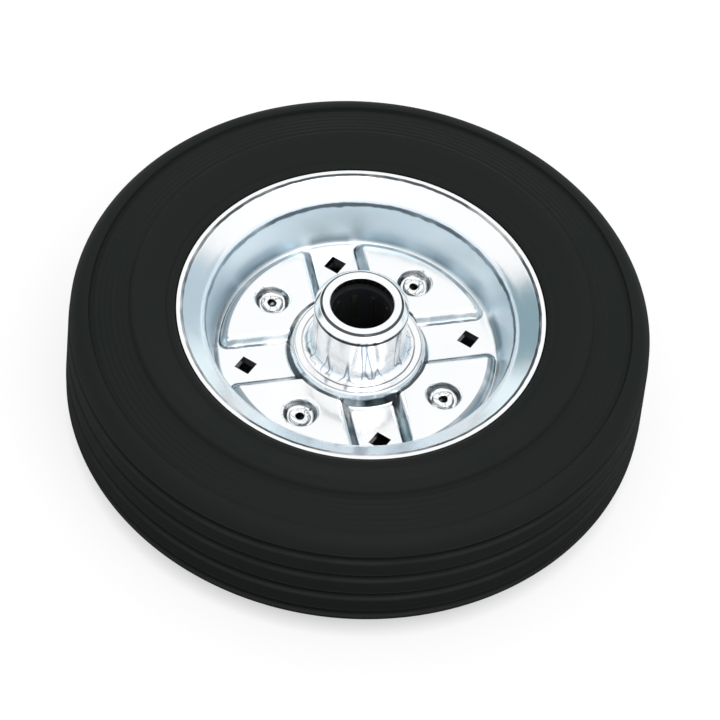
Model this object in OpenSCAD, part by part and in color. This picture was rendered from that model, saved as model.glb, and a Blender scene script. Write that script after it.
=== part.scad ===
// Castor wheel: a solid rubber tyre on a split rim of two pressed steel dishes,
// with a roller bearing in the hub. The wheel lies flat, its axle along Z,
// and its centre is the origin. All sizes are in millimetres.

/* [Tyre] */
// Outside diameter over the tread
wheel_d = 200; // [190:1:212]
// Width over the two sidewall crests
tyre_w = 53; // [51:0.5:55]
// Width of the flat tread, without its round shoulders
tread_w = 31; // [30:0.5:33]
// Radius of the shoulder between tread and sidewall
shoulder_r = 6.8; // [5.5:0.1:7.5]
// Number of grooves around the tread
groove_count = 4; // [1:1:4]
// Distance from one tread groove to the next
groove_pitch = 10; // [8:0.1:10.5]
// Width of a tread groove at its mouth
groove_w = 3.5; // [1.5:0.1:4]
// Depth of a tread groove
groove_depth = 2.2; // [0.5:0.1:3.5]
// Step down from the shoulder to the sidewall
sidewall_step = 0.7; // [0.4:0.1:2]
// Radial width of the shoulder band that this step ends
shoulder_band = 6.5; // [5.5:0.1:9]
// Diameter of the raised crest ring on the sidewall
crest_d = 157.6; // [150:0.2:160]
// Height of the step up to the crest ring
crest_step = 1.6; // [0.5:0.1:2.5]
// Number of fine ribs around the sidewall
rib_count = 6; // [1:1:6]
// Height of a sidewall rib
rib_h = 0.3; // [0.2:0.05:0.8]
// Width of a sidewall rib at its foot
rib_w = 1; // [0.6:0.1:1.2]
// Drop from the crest to the bead ring beside the rim
bead_drop = 2; // [1:0.1:3]
// Diameter of the tyre's inner face, deep between the two dishes
tyre_base_d = 104; // [103:0.5:106]

/* [Rim] */
// Thickness of the pressed sheet
sheet_t = 1.5; // [1:0.1:1.8]
// Diameter over the rim's lip
rim_d = 126.8; // [124:0.2:130]
// How far the lip lies below the tyre's crest
lip_drop = 3.1; // [2:0.1:4]
// Radial width of the flat lip
lip_w = 1.8; // [1.2:0.1:2.5]
// Radial width of the sloped band inside the lip
slope_w = 8.2; // [6:0.1:9]
// Height of the sloped band
slope_h = 4.8; // [3:0.1:6]
// Lean of the dish wall, measured from the wheel's axis
wall_lean = 14.2; // [8:0.2:18]
// Bend radius between the lip and the sloped band
lip_bend = 1.2; // [0.5:0.1:2]
// Bend radius between the sloped band and the dish wall
wall_bend = 5; // [3:0.1:6]
// Bend radius between the dish wall and the disc
floor_bend = 2.4; // [1.5:0.1:2.5]

/* [Disc] */
// Height of the four raised lands above the channels between them
land_h = 3.15; // [2:0.05:4]
// Gap from the lands' outer edge to the dish wall
gutter_w = 1.2; // [0.5:0.1:2.5]
// Width of a channel's floor
channel_w = 15.2; // [12:0.2:18]
// Slope of the channels' sides
channel_slope = 44; // [35:1:60]
// Slope of the lands' outer edge
land_slope = 65; // [50:1:70]
// Bend radius along the channels' sides
channel_bend = 2.2; // [1.6:0.1:2.5]
// Pitch circle of the square holes
square_pcd = 78.4; // [72:0.2:82]
// Side of a square hole
square_w = 5.4; // [4:0.1:6.5]
// Corner radius of a square hole
square_corner = 0.8; // [0.3:0.1:1.2]
// Pitch circle of the rivet dimples
rivet_pcd = 71; // [66:0.2:76]
// Diameter of a dimple at its mouth
dimple_d = 12; // [11:0.1:13]
// Slope of a dimple's side
dimple_slope = 70; // [60:1:80]

/* [Hub] */
// Length over the two end rings
hub_len = 57; // [55.5:0.5:62]
// Diameter of the neck drawn up out of each dish
neck_d = 32.4; // [31.6:0.1:34]
// Fillet between the neck and the boss around it
neck_flare = 5; // [2:0.1:6]
// Height of the boss ring above the lands
boss_h = 1.9; // [1:0.1:3]
// Diameter of the boss ring's flat top
boss_d = 45; // [44:0.2:48]
// Slope of the boss ring's side
boss_slope = 68; // [60:1:75]
// Bend radius at the boss ring's edge
boss_bend = 1; // [0.4:0.1:1.4]
// Thickness of an end ring
cap_t = 2.9; // [2.3:0.1:4]
// Diameter over an end ring
cap_d = 32.4; // [31.6:0.1:34]
// Diameter of the hole in an end ring
cap_hole_d = 21.9; // [21.2:0.1:23]
// Radial width of the rolled shoulder of an end ring
cap_shoulder_w = 1.6; // [1:0.1:2]
// Radial run of the step from an end ring's flat face to its shoulder
cap_step_w = 0.6; // [0.2:0.1:1]
// Drop of this step
cap_step_h = 0.5; // [0.2:0.1:1]
// Height of the rolled shoulder of an end ring
cap_shoulder_h = 1.4; // [0.8:0.1:1.6]
// Depth that an end ring reaches into the bearing housing
spigot_h = 1.6; // [1:0.1:2.5]
// Wall of that spigot
spigot_wall = 1.1; // [0.6:0.1:1.4]
// Wall of the bearing housing tube
housing_wall = 1.15; // [1:0.05:1.2]

/* [Bearing] */
// Diameter of the axle that the wheel runs on
axle_d = 20; // [19.6:0.1:20.2]
// Number of rollers
roller_count = 10; // [10]
// Width of the cage's rim beyond each end of the rollers
cage_rim_w = 3.6; // [2:0.1:6]
// Wall of the cage
cage_wall = 2.8; // [2.5:0.05:2.9]

/* [Rivets] */
// Outside diameter of a tubular rivet's shank
rivet_d = 5.8; // [5:0.1:6]
// Hole through a rivet
rivet_hole_d = 2.6; // [2:0.1:4.2]
// Diameter of a rivet's flange
rivet_head_d = 7.8; // [7.2:0.1:8.2]
// Thickness of a rivet's flange
rivet_head_t = 1.1; // [0.6:0.1:1.4]

/* [Fits] */
// Gap between the tyre and the rim it sits on
tyre_gap = 0.1; // [0.05:0.05:0.3]
// Gap between the lip's edge and the rubber around it
crevice = 0.5; // [0.3:0.1:0.8]
// Gap around the bearing housing in the rim's necks
housing_gap = 0.05; // [0.02:0.01:0.1]
// Gap around a spigot in the bearing housing
spigot_gap = 0.05; // [0.02:0.01:0.1]
// Gap around a rivet's shank in the discs
rivet_gap = 0.05; // [0.02:0.01:0.15]
// Radial gap between the axle and the rollers around it
roller_gap = 0.05; // [0.03:0.01:0.08]
// Radial gap between the rollers and the housing
track_gap = 0.1; // [0.05:0.01:0.15]
// Gap around a roller in its cage pocket
pocket_gap = 0.12; // [0.08:0.01:0.2]
// Radial gap between the axle and the cage
cage_gap = 0.27; // [0.25:0.01:0.3]
// Gap at each end of the cage
cage_end_gap = 0.3; // [0.2:0.05:0.6]
// Gap between a neck's edge and the end ring above it
neck_gap = 0.3; // [0.1:0.05:0.6]

/* [Hidden] */
$fn = 96;

// Straight pieces in each rounded bend of a section
bend_steps = 4;
// How far a cutting shape runs past what it cuts
over = 1;

wheel_r = wheel_d / 2;
rim_r = rim_d / 2;
crest_z = tyre_w / 2;
lip_z = crest_z - lip_drop;
land_z = sheet_t + land_h;
boss_z = land_z + boss_h;
neck_r = neck_d / 2;
hub_z = hub_len / 2;
cap_z = hub_z - cap_t;

axle_r = axle_d / 2;
housing_r = neck_r - sheet_t - housing_gap;
track_r = housing_r - housing_wall;
inscribed_r = axle_r + roller_gap;
roller_r = (track_r - track_gap - inscribed_r) / 2;
pitch_r = inscribed_r + roller_r;
cage_in_r = axle_r + cage_gap;
cage_out_r = cage_in_r + cage_wall;
cage_half = cap_z - spigot_h - cage_end_gap;
pocket_half = cage_half - cage_rim_w;
roller_len = 2 * (pocket_half - pocket_gap);

steel = [0.80, 0.84, 0.88];
bright_steel = [0.87, 0.89, 0.90];
rubber = [0.09, 0.10, 0.10];
polyamide = [0.06, 0.07, 0.08];

// Direction of a step in the plane, with length one
function unit(v) = v / norm(v);

// The same step turned a quarter turn to the left
function left_of(v) = [-v[1], v[0]];

// A step in the plane turned by an angle
function turned(v, a) = [v[0] * cos(a) - v[1] * sin(a), v[0] * sin(a) + v[1] * cos(a)];

// Corner b of the path a, b, c when the whole path moves d to its left
function moved_corner(a, b, c, d) =
    let (n = left_of(unit(b - a)), m = left_of(unit(c - b)))
    b + d * (n + m) / (1 + n * m);

// A whole path moved d to its left, with mitred corners
function moved(path, d) = [
    for (i = [0:len(path) - 1])
        i == 0 ? path[0] + d * left_of(unit(path[1] - path[0]))
        : i == len(path) - 1 ? path[i] + d * left_of(unit(path[i] - path[i - 1]))
        : moved_corner(path[i - 1], path[i], path[i + 1], d)
];

// Angle by which the path a, b, c turns left at b
function turn_at(a, b, c) =
    let (u = unit(b - a), v = unit(c - b))
    atan2(cross(u, v), u * v);

// Arc of radius r in place of corner b of the path a, b, c
function bend(a, b, c, r) =
    let (
        u = unit(b - a),
        angle = turn_at(a, b, c),
        side = sign(angle),
        start = b - u * abs(r * tan(angle / 2)),
        spoke = -side * r * left_of(u),
        centre = start - spoke
    )
    [for (k = [0:bend_steps]) centre + turned(spoke, angle * k / bend_steps)];

// A path moved d to its left with every inner corner bent to its radius,
// so that two such paths lie side by side like the faces of a sheet
function bent(path, radii, d = 0) =
    let (p = moved(path, d), last = len(p) - 1)
    [
        p[0],
        for (i = [1:last - 1])
            let (r = radii[i - 1] - sign(turn_at(p[i - 1], p[i], p[i + 1])) * d)
            each r > 0.05 ? bend(p[i - 1], p[i], p[i + 1], r) : [p[i]],
        p[last]
    ];

function reversed(list) = [for (i = [len(list) - 1:-1:0]) list[i]];

// The path's mirror image below the wheel's mid-plane, run backwards
function below(path) = reversed([for (p = path) [p[0], -p[1]]]);

// Dish section seen from the outside face: lip, sloped band, wall and disc
slope_in_r = rim_r - lip_w - slope_w;
wall_top_z = lip_z - slope_h;
wall_foot_r = slope_in_r - (wall_top_z - sheet_t) * tan(wall_lean);
boss_r = boss_d / 2;
boss_foot_r = boss_r + (boss_z - sheet_t) / tan(boss_slope);
bowl_path = [
    [rim_r, lip_z],
    [rim_r - lip_w, lip_z],
    [slope_in_r, wall_top_z],
    [wall_foot_r, sheet_t]
];
bowl_bends = [lip_bend, wall_bend, floor_bend];
rim_path = concat(bowl_path, [
    [boss_foot_r, sheet_t],
    [boss_r, boss_z],
    [neck_r, boss_z],
    [neck_r, cap_z - neck_gap]
]);
rim_bends = concat(bowl_bends, [boss_bend, boss_bend, neck_flare]);

// Radius of the lands' outer edge at the disc, and of their top
land_foot_r = wall_foot_r - gutter_w;
land_top_r = land_foot_r - land_h / tan(land_slope);
// Radius within the boss ring's side where a land's sheet joins it
land_root_r = boss_r + boss_h / tan(boss_slope) - sheet_t / 4;

// Raised land in section, its face moved down into the sheet by d
module land_section(d) {
    root_r = land_root_r - 2 * d / 3;
    edge = moved([[land_foot_r, sheet_t], [land_top_r, land_z], [root_r, land_z]], d);
    floor_z = d > 0 ? -over : 0;
    polygon(concat([[edge[0][0], floor_z]], edge, [[root_r, floor_z]]));
}

// Channel between two lands in section, its face moved down by d.
// The floor of the section reaches down to floor_z
module channel_section(d, floor_z) {
    half_top = channel_w / 2 + land_h / tan(channel_slope);
    face = [
        [-half_top - channel_bend * 2, land_z],
        [-half_top, land_z],
        [-channel_w / 2, sheet_t],
        [channel_w / 2, sheet_t],
        [half_top, land_z],
        [half_top + channel_bend * 2, land_z]
    ];
    bends = [for (i = [1:4]) channel_bend];
    // the face runs from left to right, so its right side is the metal
    path = bent(face, bends, -d);
    first = path[0];
    last = path[len(path) - 1];
    top_z = land_z + over;
    polygon(concat([[first[0], top_z]], path, [[last[0], top_z]]));
    if (floor_z < sheet_t - d) {
        side = path[bend_steps + 2][0];
        translate([side, floor_z]) square([-2 * side, sheet_t - d - floor_z]);
    }
}

// Four channels, one along each arm of the cross
module channels(d, floor_z) {
    for (a = [0:90:270])
        rotate(a)
            rotate([90, 0, 90])
                linear_extrude(wall_foot_r + over) channel_section(d, floor_z);
}

// Four dimples between the channels, their face moved out by d
module dimples(d, floor_z) {
    grow = d * tan(dimple_slope / 2);
    top_r = dimple_d / 2 + grow;
    foot_r = top_r - land_h / tan(dimple_slope);
    for (a = [45:90:315])
        rotate(a)
            translate([rivet_pcd / 2, 0, 0]) {
                translate([0, 0, sheet_t - d]) cylinder(h = land_h, r1 = foot_r, r2 = top_r);
                translate([0, 0, land_z - d]) cylinder(h = over + d, r = top_r);
                translate([0, 0, floor_z]) cylinder(h = sheet_t - d - floor_z + 0.001, r = foot_r);
            }
}

// All four raised lands as one block, its face moved down by d
module lands(d) {
    floor_z = d > 0 ? -2 * over : sheet_t;
    difference() {
        rotate_extrude() land_section(d);
        channels(d, floor_z);
        dimples(d, floor_z);
    }
}

// Square with rounded corners, standing on one of them
module square_hole_section() {
    reach = square_w / 2 - square_corner;
    corners = [for (a = [0:90:270]) a];
    rotate(45)
        polygon([
            for (a = corners, k = [0:bend_steps])
                turned([reach, reach], a) + square_corner * [
                    cos(a + 90 * k / bend_steps),
                    sin(a + 90 * k / bend_steps)
                ]
        ]);
}

module square_holes() {
    for (a = [0:90:270])
        rotate(a)
            translate([square_pcd / 2, 0, -over])
                linear_extrude(sheet_t + 2 * over) square_hole_section();
}

module rivet_holes() {
    for (a = [45:90:315])
        rotate(a)
            translate([rivet_pcd / 2, 0, -over])
                cylinder(h = sheet_t + 2 * over, r = rivet_d / 2 + rivet_gap);
}

// One pressed dish, its disc standing on the wheel's mid-plane
module rim_half() {
    difference() {
        union() {
            rotate_extrude()
                polygon(concat(
                    bent(rim_path, rim_bends),
                    reversed(bent(rim_path, rim_bends, sheet_t))
                ));
            lands(0);
        }
        lands(sheet_t);
        square_holes();
        rivet_holes();
    }
}

module rim_front() {
    color(steel) rim_half();
}

module rim_rear() {
    color(steel) mirror([0, 0, 1]) rim_half();
}

// Tread grooves, spread evenly to both sides of the mid-plane
module groove_sections() {
    bevel = groove_w / 4;
    flare = bevel * over / groove_depth;
    for (k = [0:groove_count - 1])
        translate([wheel_r, (k - (groove_count - 1) / 2) * groove_pitch])
            polygon([
                [-groove_depth, bevel - groove_w / 2],
                [over, -groove_w / 2 - flare],
                [over, groove_w / 2 + flare],
                [-groove_depth, groove_w / 2 - bevel]
            ]);
}

// Round shoulder, ending in the step down to the sidewall
function shoulder_path() =
    let (
        centre_r = wheel_r - shoulder_r,
        last_angle = acos((shoulder_r - shoulder_band) / shoulder_r + 0.001),
        end_angle = min(90, last_angle)
    )
    [
        for (a = [0:10:90])
            if (a < end_angle) [centre_r + shoulder_r * cos(a), tread_w / 2 + shoulder_r * sin(a)],
        [wheel_r - shoulder_band, tread_w / 2 + shoulder_r * sin(end_angle)]
    ];

// Outer and inner end of the ribbed sidewall, between the shoulder's step and the crest
sidewall_out = [wheel_r - shoulder_band - 0.5, tread_w / 2 + shoulder_r - sidewall_step];
sidewall_in = [crest_d / 2 + 1, crest_z - crest_step];
bead_r = rim_r + crevice;
bead_z = crest_z - bead_drop;
// Height at which the rubber first rests on the dish, under the lip
seat_z = lip_z - sheet_t - tyre_gap;

// Tyre from its tread in to its base, without its side and its grooves
module carcass_section() {
    base_r = tyre_base_d / 2;
    half = concat(
        shoulder_path(),
        [sidewall_out, [bead_r, seat_z], [base_r, seat_z], [base_r, 0]]
    );
    polygon(concat(half, below(half)));
}

// Side of the tyre: sidewall, crest ring, side face and bead ring beside the lip
module side_section() {
    polygon([
        sidewall_out,
        sidewall_in,
        [crest_d / 2 + 0.4, crest_z - 0.3],
        [crest_d / 2 - 0.4, crest_z],
        [crest_d / 2 - 4, crest_z - 0.1],
        [bead_r + 3.4, bead_z - 0.35],
        [bead_r + 2.7, bead_z],
        [bead_r + 1.6, bead_z],
        [bead_r, bead_z - 0.8],
        [bead_r, seat_z],
        [bead_r + over, seat_z - over],
        sidewall_out - [over, over]
    ]);
}

// Fine ribs spread evenly over the sidewall, each rooted in the rubber
module rib_sections() {
    run = sidewall_in - sidewall_out;
    along = unit(run);
    outward = -left_of(along);
    pitch = norm(run) / (rib_count + 1);
    for (k = [1:rib_count]) {
        foot = sidewall_out + along * pitch * k;
        polygon([
            foot - along * rib_w / 2 - outward * rib_h,
            foot - along * rib_w / 2,
            foot - along * rib_w / 4 + outward * rib_h,
            foot + along * rib_w / 4 + outward * rib_h,
            foot + along * rib_w / 2,
            foot + along * rib_w / 2 - outward * rib_h
        ]);
    }
}

// Room of one dish, its neighbour across the mid-plane left out, that no rubber fills
module seat_section() {
    seat = bent(bowl_path, [lip_bend, wall_bend], sheet_t + tyre_gap);
    wall = seat[len(seat) - 2];
    foot = seat[len(seat) - 1];
    part = (wall[1] + over) / (wall[1] - foot[1]);
    polygon(concat(
        [[seat[0][0], lip_z]],
        [for (i = [0:len(seat) - 2]) seat[i]],
        [wall + part * (foot - wall), [0, -over], [0, lip_z]]
    ));
}

module tyre() {
    color(rubber)
        rotate_extrude()
            difference() {
                union() {
                    carcass_section();
                    for (side = [0, 1])
                        mirror([0, side]) {
                            side_section();
                            rib_sections();
                        }
                }
                groove_sections();
                for (side = [0, 1])
                    mirror([0, side]) seat_section();
            }
}

module bearing_housing() {
    color(bright_steel)
        difference() {
            translate([0, 0, -cap_z]) cylinder(h = 2 * cap_z, r = housing_r);
            translate([0, 0, -hub_z]) cylinder(h = 2 * hub_z, r = track_r);
        }
}

// Pressed ring that closes one end of the hub and holds the cage in
module end_ring() {
    hole_r = cap_hole_d / 2;
    cap_r = cap_d / 2;
    shoulder_r0 = cap_r - cap_shoulder_w;
    shoulder_z = hub_z - cap_step_h;
    spigot_r = track_r - spigot_gap;
    rotate_extrude()
        polygon(concat(
            [
                [hole_r, cap_z],
                [hole_r, hub_z - 0.3],
                [hole_r + 0.3, hub_z],
                [shoulder_r0 - cap_step_w, hub_z]
            ],
            [
                for (a = [90:-15:0])
                    [
                        shoulder_r0 + cap_shoulder_w * cos(a),
                        shoulder_z - cap_shoulder_h * (1 - sin(a))
                    ]
            ],
            [
                [cap_r, cap_z],
                [spigot_r, cap_z],
                [spigot_r, cap_z - spigot_h],
                [spigot_r - spigot_wall, cap_z - spigot_h],
                [spigot_r - spigot_wall, cap_z]
            ]
        ));
}

module end_ring_front() {
    color(bright_steel) end_ring();
}

module end_ring_rear() {
    color(bright_steel) mirror([0, 0, 1]) end_ring();
}

// Puts its children at one roller's place on the pitch circle
module at_roller(i) {
    rotate(360 * (i - 0.5) / roller_count) translate([pitch_r, 0, 0]) children();
}

module roller_cage() {
    color(polyamide)
        difference() {
            translate([0, 0, -cage_half]) cylinder(h = 2 * cage_half, r = cage_out_r);
            translate([0, 0, -hub_z]) cylinder(h = 2 * hub_z, r = cage_in_r);
            for (i = [1:roller_count])
                at_roller(i)
                    translate([0, 0, -pocket_half])
                        cylinder(h = 2 * pocket_half, r = roller_r + pocket_gap);
        }
}

module roller(i) {
    color(bright_steel)
        at_roller(i) translate([0, 0, -roller_len / 2]) cylinder(h = roller_len, r = roller_r);
}

// Tubular rivet with a flange on each disc, one in each pair of dimples
module rivet(i) {
    shank_r = rivet_d / 2;
    head_r = rivet_head_d / 2;
    hole_r = rivet_hole_d / 2;
    half = [
        [shank_r, 0],
        [shank_r, sheet_t],
        [head_r, sheet_t],
        [head_r, sheet_t + rivet_head_t / 2],
        [head_r - rivet_head_t / 2, sheet_t + rivet_head_t],
        [hole_r + rivet_head_t / 2, sheet_t + rivet_head_t],
        [hole_r, sheet_t + rivet_head_t / 2],
        [hole_r, 0]
    ];
    color(steel)
        rotate(90 * i - 45)
            translate([rivet_pcd / 2, 0, 0])
                rotate_extrude() polygon(concat(half, below(half)));
}

tyre();
rim_front();
rim_rear();
bearing_housing();
end_ring_front();
end_ring_rear();
roller_cage();
roller(1);  // roller_1
roller(2);  // roller_2
roller(3);  // roller_3
roller(4);  // roller_4
roller(5);  // roller_5
roller(6);  // roller_6
roller(7);  // roller_7
roller(8);  // roller_8
roller(9);  // roller_9
roller(10);  // roller_10
rivet(1);  // rivet_1
rivet(2);  // rivet_2
rivet(3);  // rivet_3
rivet(4);  // rivet_4
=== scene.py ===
"""Castor wheel lying flat: solid rubber tyre, zinc-plated split rim, roller bearing.

Everything is in metres, in the part's own frame: the axle line is Z and the
wheel's centre is the origin.
"""

import logging
import math
from dataclasses import dataclass, field
from enum import Enum
from typing import Callable, Iterable, Sequence

import bpy
import numpy as np
from mathutils import Matrix, Vector


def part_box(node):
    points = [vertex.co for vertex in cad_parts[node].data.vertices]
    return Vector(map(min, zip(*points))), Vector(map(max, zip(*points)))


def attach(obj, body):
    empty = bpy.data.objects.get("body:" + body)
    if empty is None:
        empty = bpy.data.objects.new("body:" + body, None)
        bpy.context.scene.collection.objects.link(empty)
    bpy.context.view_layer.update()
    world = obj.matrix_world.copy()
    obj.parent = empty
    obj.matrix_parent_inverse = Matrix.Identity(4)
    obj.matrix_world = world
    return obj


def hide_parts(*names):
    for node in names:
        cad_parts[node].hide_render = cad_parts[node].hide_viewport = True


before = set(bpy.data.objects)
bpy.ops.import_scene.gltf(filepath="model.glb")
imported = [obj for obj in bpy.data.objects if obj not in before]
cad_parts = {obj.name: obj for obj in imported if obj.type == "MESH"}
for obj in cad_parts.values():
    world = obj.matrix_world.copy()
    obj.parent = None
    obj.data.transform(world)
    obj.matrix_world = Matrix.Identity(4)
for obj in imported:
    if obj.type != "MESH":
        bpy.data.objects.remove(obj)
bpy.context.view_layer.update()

LOG = logging.getLogger("castor_wheel")
MM = 0.001
# height of the dishes' lip, which no box of the frame gives
RIM_LIP_Z = 23.4 * MM

Point = tuple[float, float]
Colour = tuple[float, float, float]
Object = bpy.types.Object
Material = bpy.types.Material
Socket = bpy.types.NodeSocket


class Body(Enum):
    """Body of the part that the new pieces ride on."""

    WHEEL = "wheel"


class Slot(Enum):
    """Material slots of the part's record."""

    TYRE = "tyre_rubber"
    ZINC = "zinc_plate"
    RING = "ring_steel"
    RIVET = "rivet_steel"
    HOUSING = "bearing_steel"
    CAGE = "cage_plastic"
    ROLLER = "roller_steel"


class Side(Enum):
    """Faces of the wheel: the value is the sign of Z on that side."""

    FRONT = 1
    REAR = -1


# Paths in a section, as in a press tool's drawing


def unit(v: np.ndarray) -> np.ndarray:
    """Makes a vector's length one.

    Args:
        v: The vector.

    Returns:
        The vector of the same direction with length one.
    """
    return v / np.linalg.norm(v)


def left_of(v: np.ndarray) -> np.ndarray:
    """Turns a plane vector a quarter turn to the left.

    Args:
        v: The vector.

    Returns:
        The turned vector.
    """
    return np.array([-v[1], v[0]])


def moved(path: Sequence[Point], distance: float) -> list[np.ndarray]:
    """Moves an open path sideways, with mitred corners.

    Args:
        path: The path's corners.
        distance: How far it moves to its left.

    Returns:
        The moved corners.
    """
    pts = [np.array(p, float) for p in path]
    steps = [unit(b - a) for a, b in zip(pts, pts[1:])]
    out = [pts[0] + distance * left_of(steps[0])]
    for i in range(1, len(pts) - 1):
        n, m = left_of(steps[i - 1]), left_of(steps[i])
        out.append(pts[i] + distance * (n + m) / (1 + n @ m))
    out.append(pts[-1] + distance * left_of(steps[-1]))
    return out


def arc(a: np.ndarray, b: np.ndarray, c: np.ndarray, radius: float, steps: int) -> list[np.ndarray]:
    """Rounds the corner b of the path a, b, c.

    Args:
        a: Point before the corner.
        b: The corner.
        c: Point after the corner.
        radius: Radius of the round.
        steps: Number of straight pieces in it.

    Returns:
        Points of the arc from its start to its end.
    """
    u, v = unit(b - a), unit(c - b)
    angle = math.atan2(u[0] * v[1] - u[1] * v[0], float(u @ v))
    room = 0.49 * min(np.linalg.norm(b - a), np.linalg.norm(c - b))
    cut = min(abs(radius * math.tan(angle / 2)), room)
    radius = cut / max(abs(math.tan(angle / 2)), 1e-9)
    start = b - u * cut
    spoke = -math.copysign(radius, angle) * left_of(u)
    centre = start - spoke
    points = []
    for k in range(steps + 1):
        t = angle * k / steps
        turn = np.array([[math.cos(t), -math.sin(t)], [math.sin(t), math.cos(t)]])
        points.append(centre + turn @ spoke)
    return points


def bent(path: Sequence[Point], radii: Sequence[float], distance: float = 0.0, steps: int = 6) -> list[np.ndarray]:
    """Moves a path sideways and bends its inner corners, like one face of a sheet.

    Args:
        path: The corners of the sheet's outer face.
        radii: Bend radius at each inner corner of that face.
        distance: How far the face lies to the path's left.
        steps: Number of straight pieces in each bend.

    Returns:
        The points of the face.
    """
    p = moved(path, distance)
    out = [p[0]]
    for i in range(1, len(p) - 1):
        u, v = unit(p[i] - p[i - 1]), unit(p[i + 1] - p[i])
        side = math.copysign(1.0, u[0] * v[1] - u[1] * v[0])
        radius = radii[i - 1] - side * distance
        out += arc(p[i - 1], p[i], p[i + 1], radius, steps) if radius > 0.02 * MM else [p[i]]
    out.append(p[-1])
    return out


def finer(path: Sequence[np.ndarray], step: float, wide_step: float, inside_r: float) -> list[np.ndarray]:
    """Adds points to a path so that none of its pieces is too long.

    Args:
        path: The path's points.
        step: Longest piece allowed on flat stretches within inside_r.
        wide_step: Longest piece allowed elsewhere.
        inside_r: Radius that bounds the part with the fine relief.

    Returns:
        The denser path.
    """
    out = [path[0]]
    for a, b in zip(path, path[1:]):
        relief = max(a[0], b[0]) < inside_r and abs(b[0] - a[0]) > abs(b[1] - a[1])
        count = max(1, math.ceil(np.linalg.norm(b - a) / (step if relief else wide_step)))
        out += [a + (b - a) * k / count for k in range(1, count + 1)]
    return out


def smooth_ramp(x: np.ndarray, width: float, blend: float) -> np.ndarray:
    """Ramp from 0 to 1 over a width, with parabolic bends at its foot and top.

    Args:
        x: Distance from the ramp's foot.
        width: Run of the straight ramp.
        blend: Half the run of each bend.

    Returns:
        Height between 0 and 1 at each x.
    """

    def kink(t: np.ndarray) -> np.ndarray:
        return np.where(t <= -blend, 0.0, np.where(t >= blend, t, (t + blend) ** 2 / (4 * blend)))

    return (kink(x) - kink(x - width)) / width


# Meshes


def mesh_object(name: str, verts: np.ndarray, faces: Iterable[Sequence[int]]) -> Object:
    """Makes a smooth-shaded object of vertices and faces.

    Args:
        name: Name of the piece.
        verts: Vertex places, one row each.
        faces: Vertex numbers of each face.

    Returns:
        The linked object.
    """
    mesh = bpy.data.meshes.new(name)
    mesh.from_pydata(verts.tolist(), [], [list(f) for f in faces])
    mesh.validate()
    mesh.shade_smooth()
    obj = bpy.data.objects.new(name, mesh)
    bpy.context.scene.collection.objects.link(obj)
    return obj


def ring_faces(rows: int, segments: int) -> list[tuple[int, int, int, int]]:
    """Faces of a closed tube of closed rows, both ways round.

    Args:
        rows: Number of rows around the section.
        segments: Number of points in each row.

    Returns:
        Quads over a grid numbered row by row.
    """
    faces = []
    for i in range(rows):
        j = (i + 1) % rows
        for k in range(segments):
            n = (k + 1) % segments
            faces.append((i * segments + k, i * segments + n, j * segments + n, j * segments + k))
    return faces


def revolved(name: str, section: Sequence[np.ndarray], segments: int,
             shape: Callable[[np.ndarray, np.ndarray], np.ndarray] | None = None) -> Object:
    """Turns a closed section about the axle line.

    Args:
        name: Name of the piece.
        section: Radius and height of each point, counter-clockwise.
        segments: Number of steps around.
        shape: Optional change of the points, given places and angles.

    Returns:
        The linked object.
    """
    angles = np.arange(segments) * 2 * math.pi / segments
    rz = np.array(section)
    r = np.repeat(rz[:, 0], segments)
    z = np.repeat(rz[:, 1], segments)
    t = np.tile(angles, len(rz))
    verts = np.column_stack([r * np.cos(t), r * np.sin(t), z])
    if shape is not None:
        verts = shape(verts, t)
    return mesh_object(name, verts, ring_faces(len(rz), segments))


def mirror_in_z(obj: Object) -> None:
    """Mirrors a piece's mesh in the wheel's mid-plane and keeps its faces outward.

    Args:
        obj: The piece.
    """
    obj.data.transform(Matrix.Diagonal((1, 1, -1, 1)))
    obj.data.flip_normals()


def keep_edges(obj: Object, degrees: float) -> None:
    """Marks edges sharper than an angle so that smooth shading stops there.

    Args:
        obj: The piece.
        degrees: Smallest angle between faces that stays sharp.
    """
    obj.data.set_sharp_from_angle(angle=math.radians(degrees))


def cut_with(obj: Object, cutter: Object) -> None:
    """Cuts one closed piece out of another and removes the cutter.

    Args:
        obj: The piece that is cut.
        cutter: The closed solid that is taken away.
    """
    mod = obj.modifiers.new("cut", "BOOLEAN")
    mod.operation = "DIFFERENCE"
    mod.solver = "EXACT"
    mod.object = cutter
    bpy.context.view_layer.update()
    graph = bpy.context.evaluated_depsgraph_get()
    made = bpy.data.meshes.new_from_object(obj.evaluated_get(graph))
    obj.modifiers.remove(mod)
    obj.data = made
    bpy.data.objects.remove(cutter)


# Shader node groups


def new_group(name: str, inputs: dict[str, float],
              outputs: Sequence[str]) -> tuple["Tree", bpy.types.Node, bpy.types.Node]:
    """Starts a shader node group whose sockets are all numbers.

    Args:
        name: Name of the group.
        inputs: Name and default of each input.
        outputs: Name of each output.

    Returns:
        The group's tree, its input node and its output node.
    """
    group = bpy.data.node_groups.new(name, "ShaderNodeTree")
    for label, default in inputs.items():
        socket = group.interface.new_socket(name=label, in_out="INPUT", socket_type="NodeSocketFloat")
        socket.default_value = default
    for label in outputs:
        group.interface.new_socket(name=label, in_out="OUTPUT", socket_type="NodeSocketFloat")
    return Tree(group), group.nodes.new("NodeGroupInput"), group.nodes.new("NodeGroupOutput")


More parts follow.
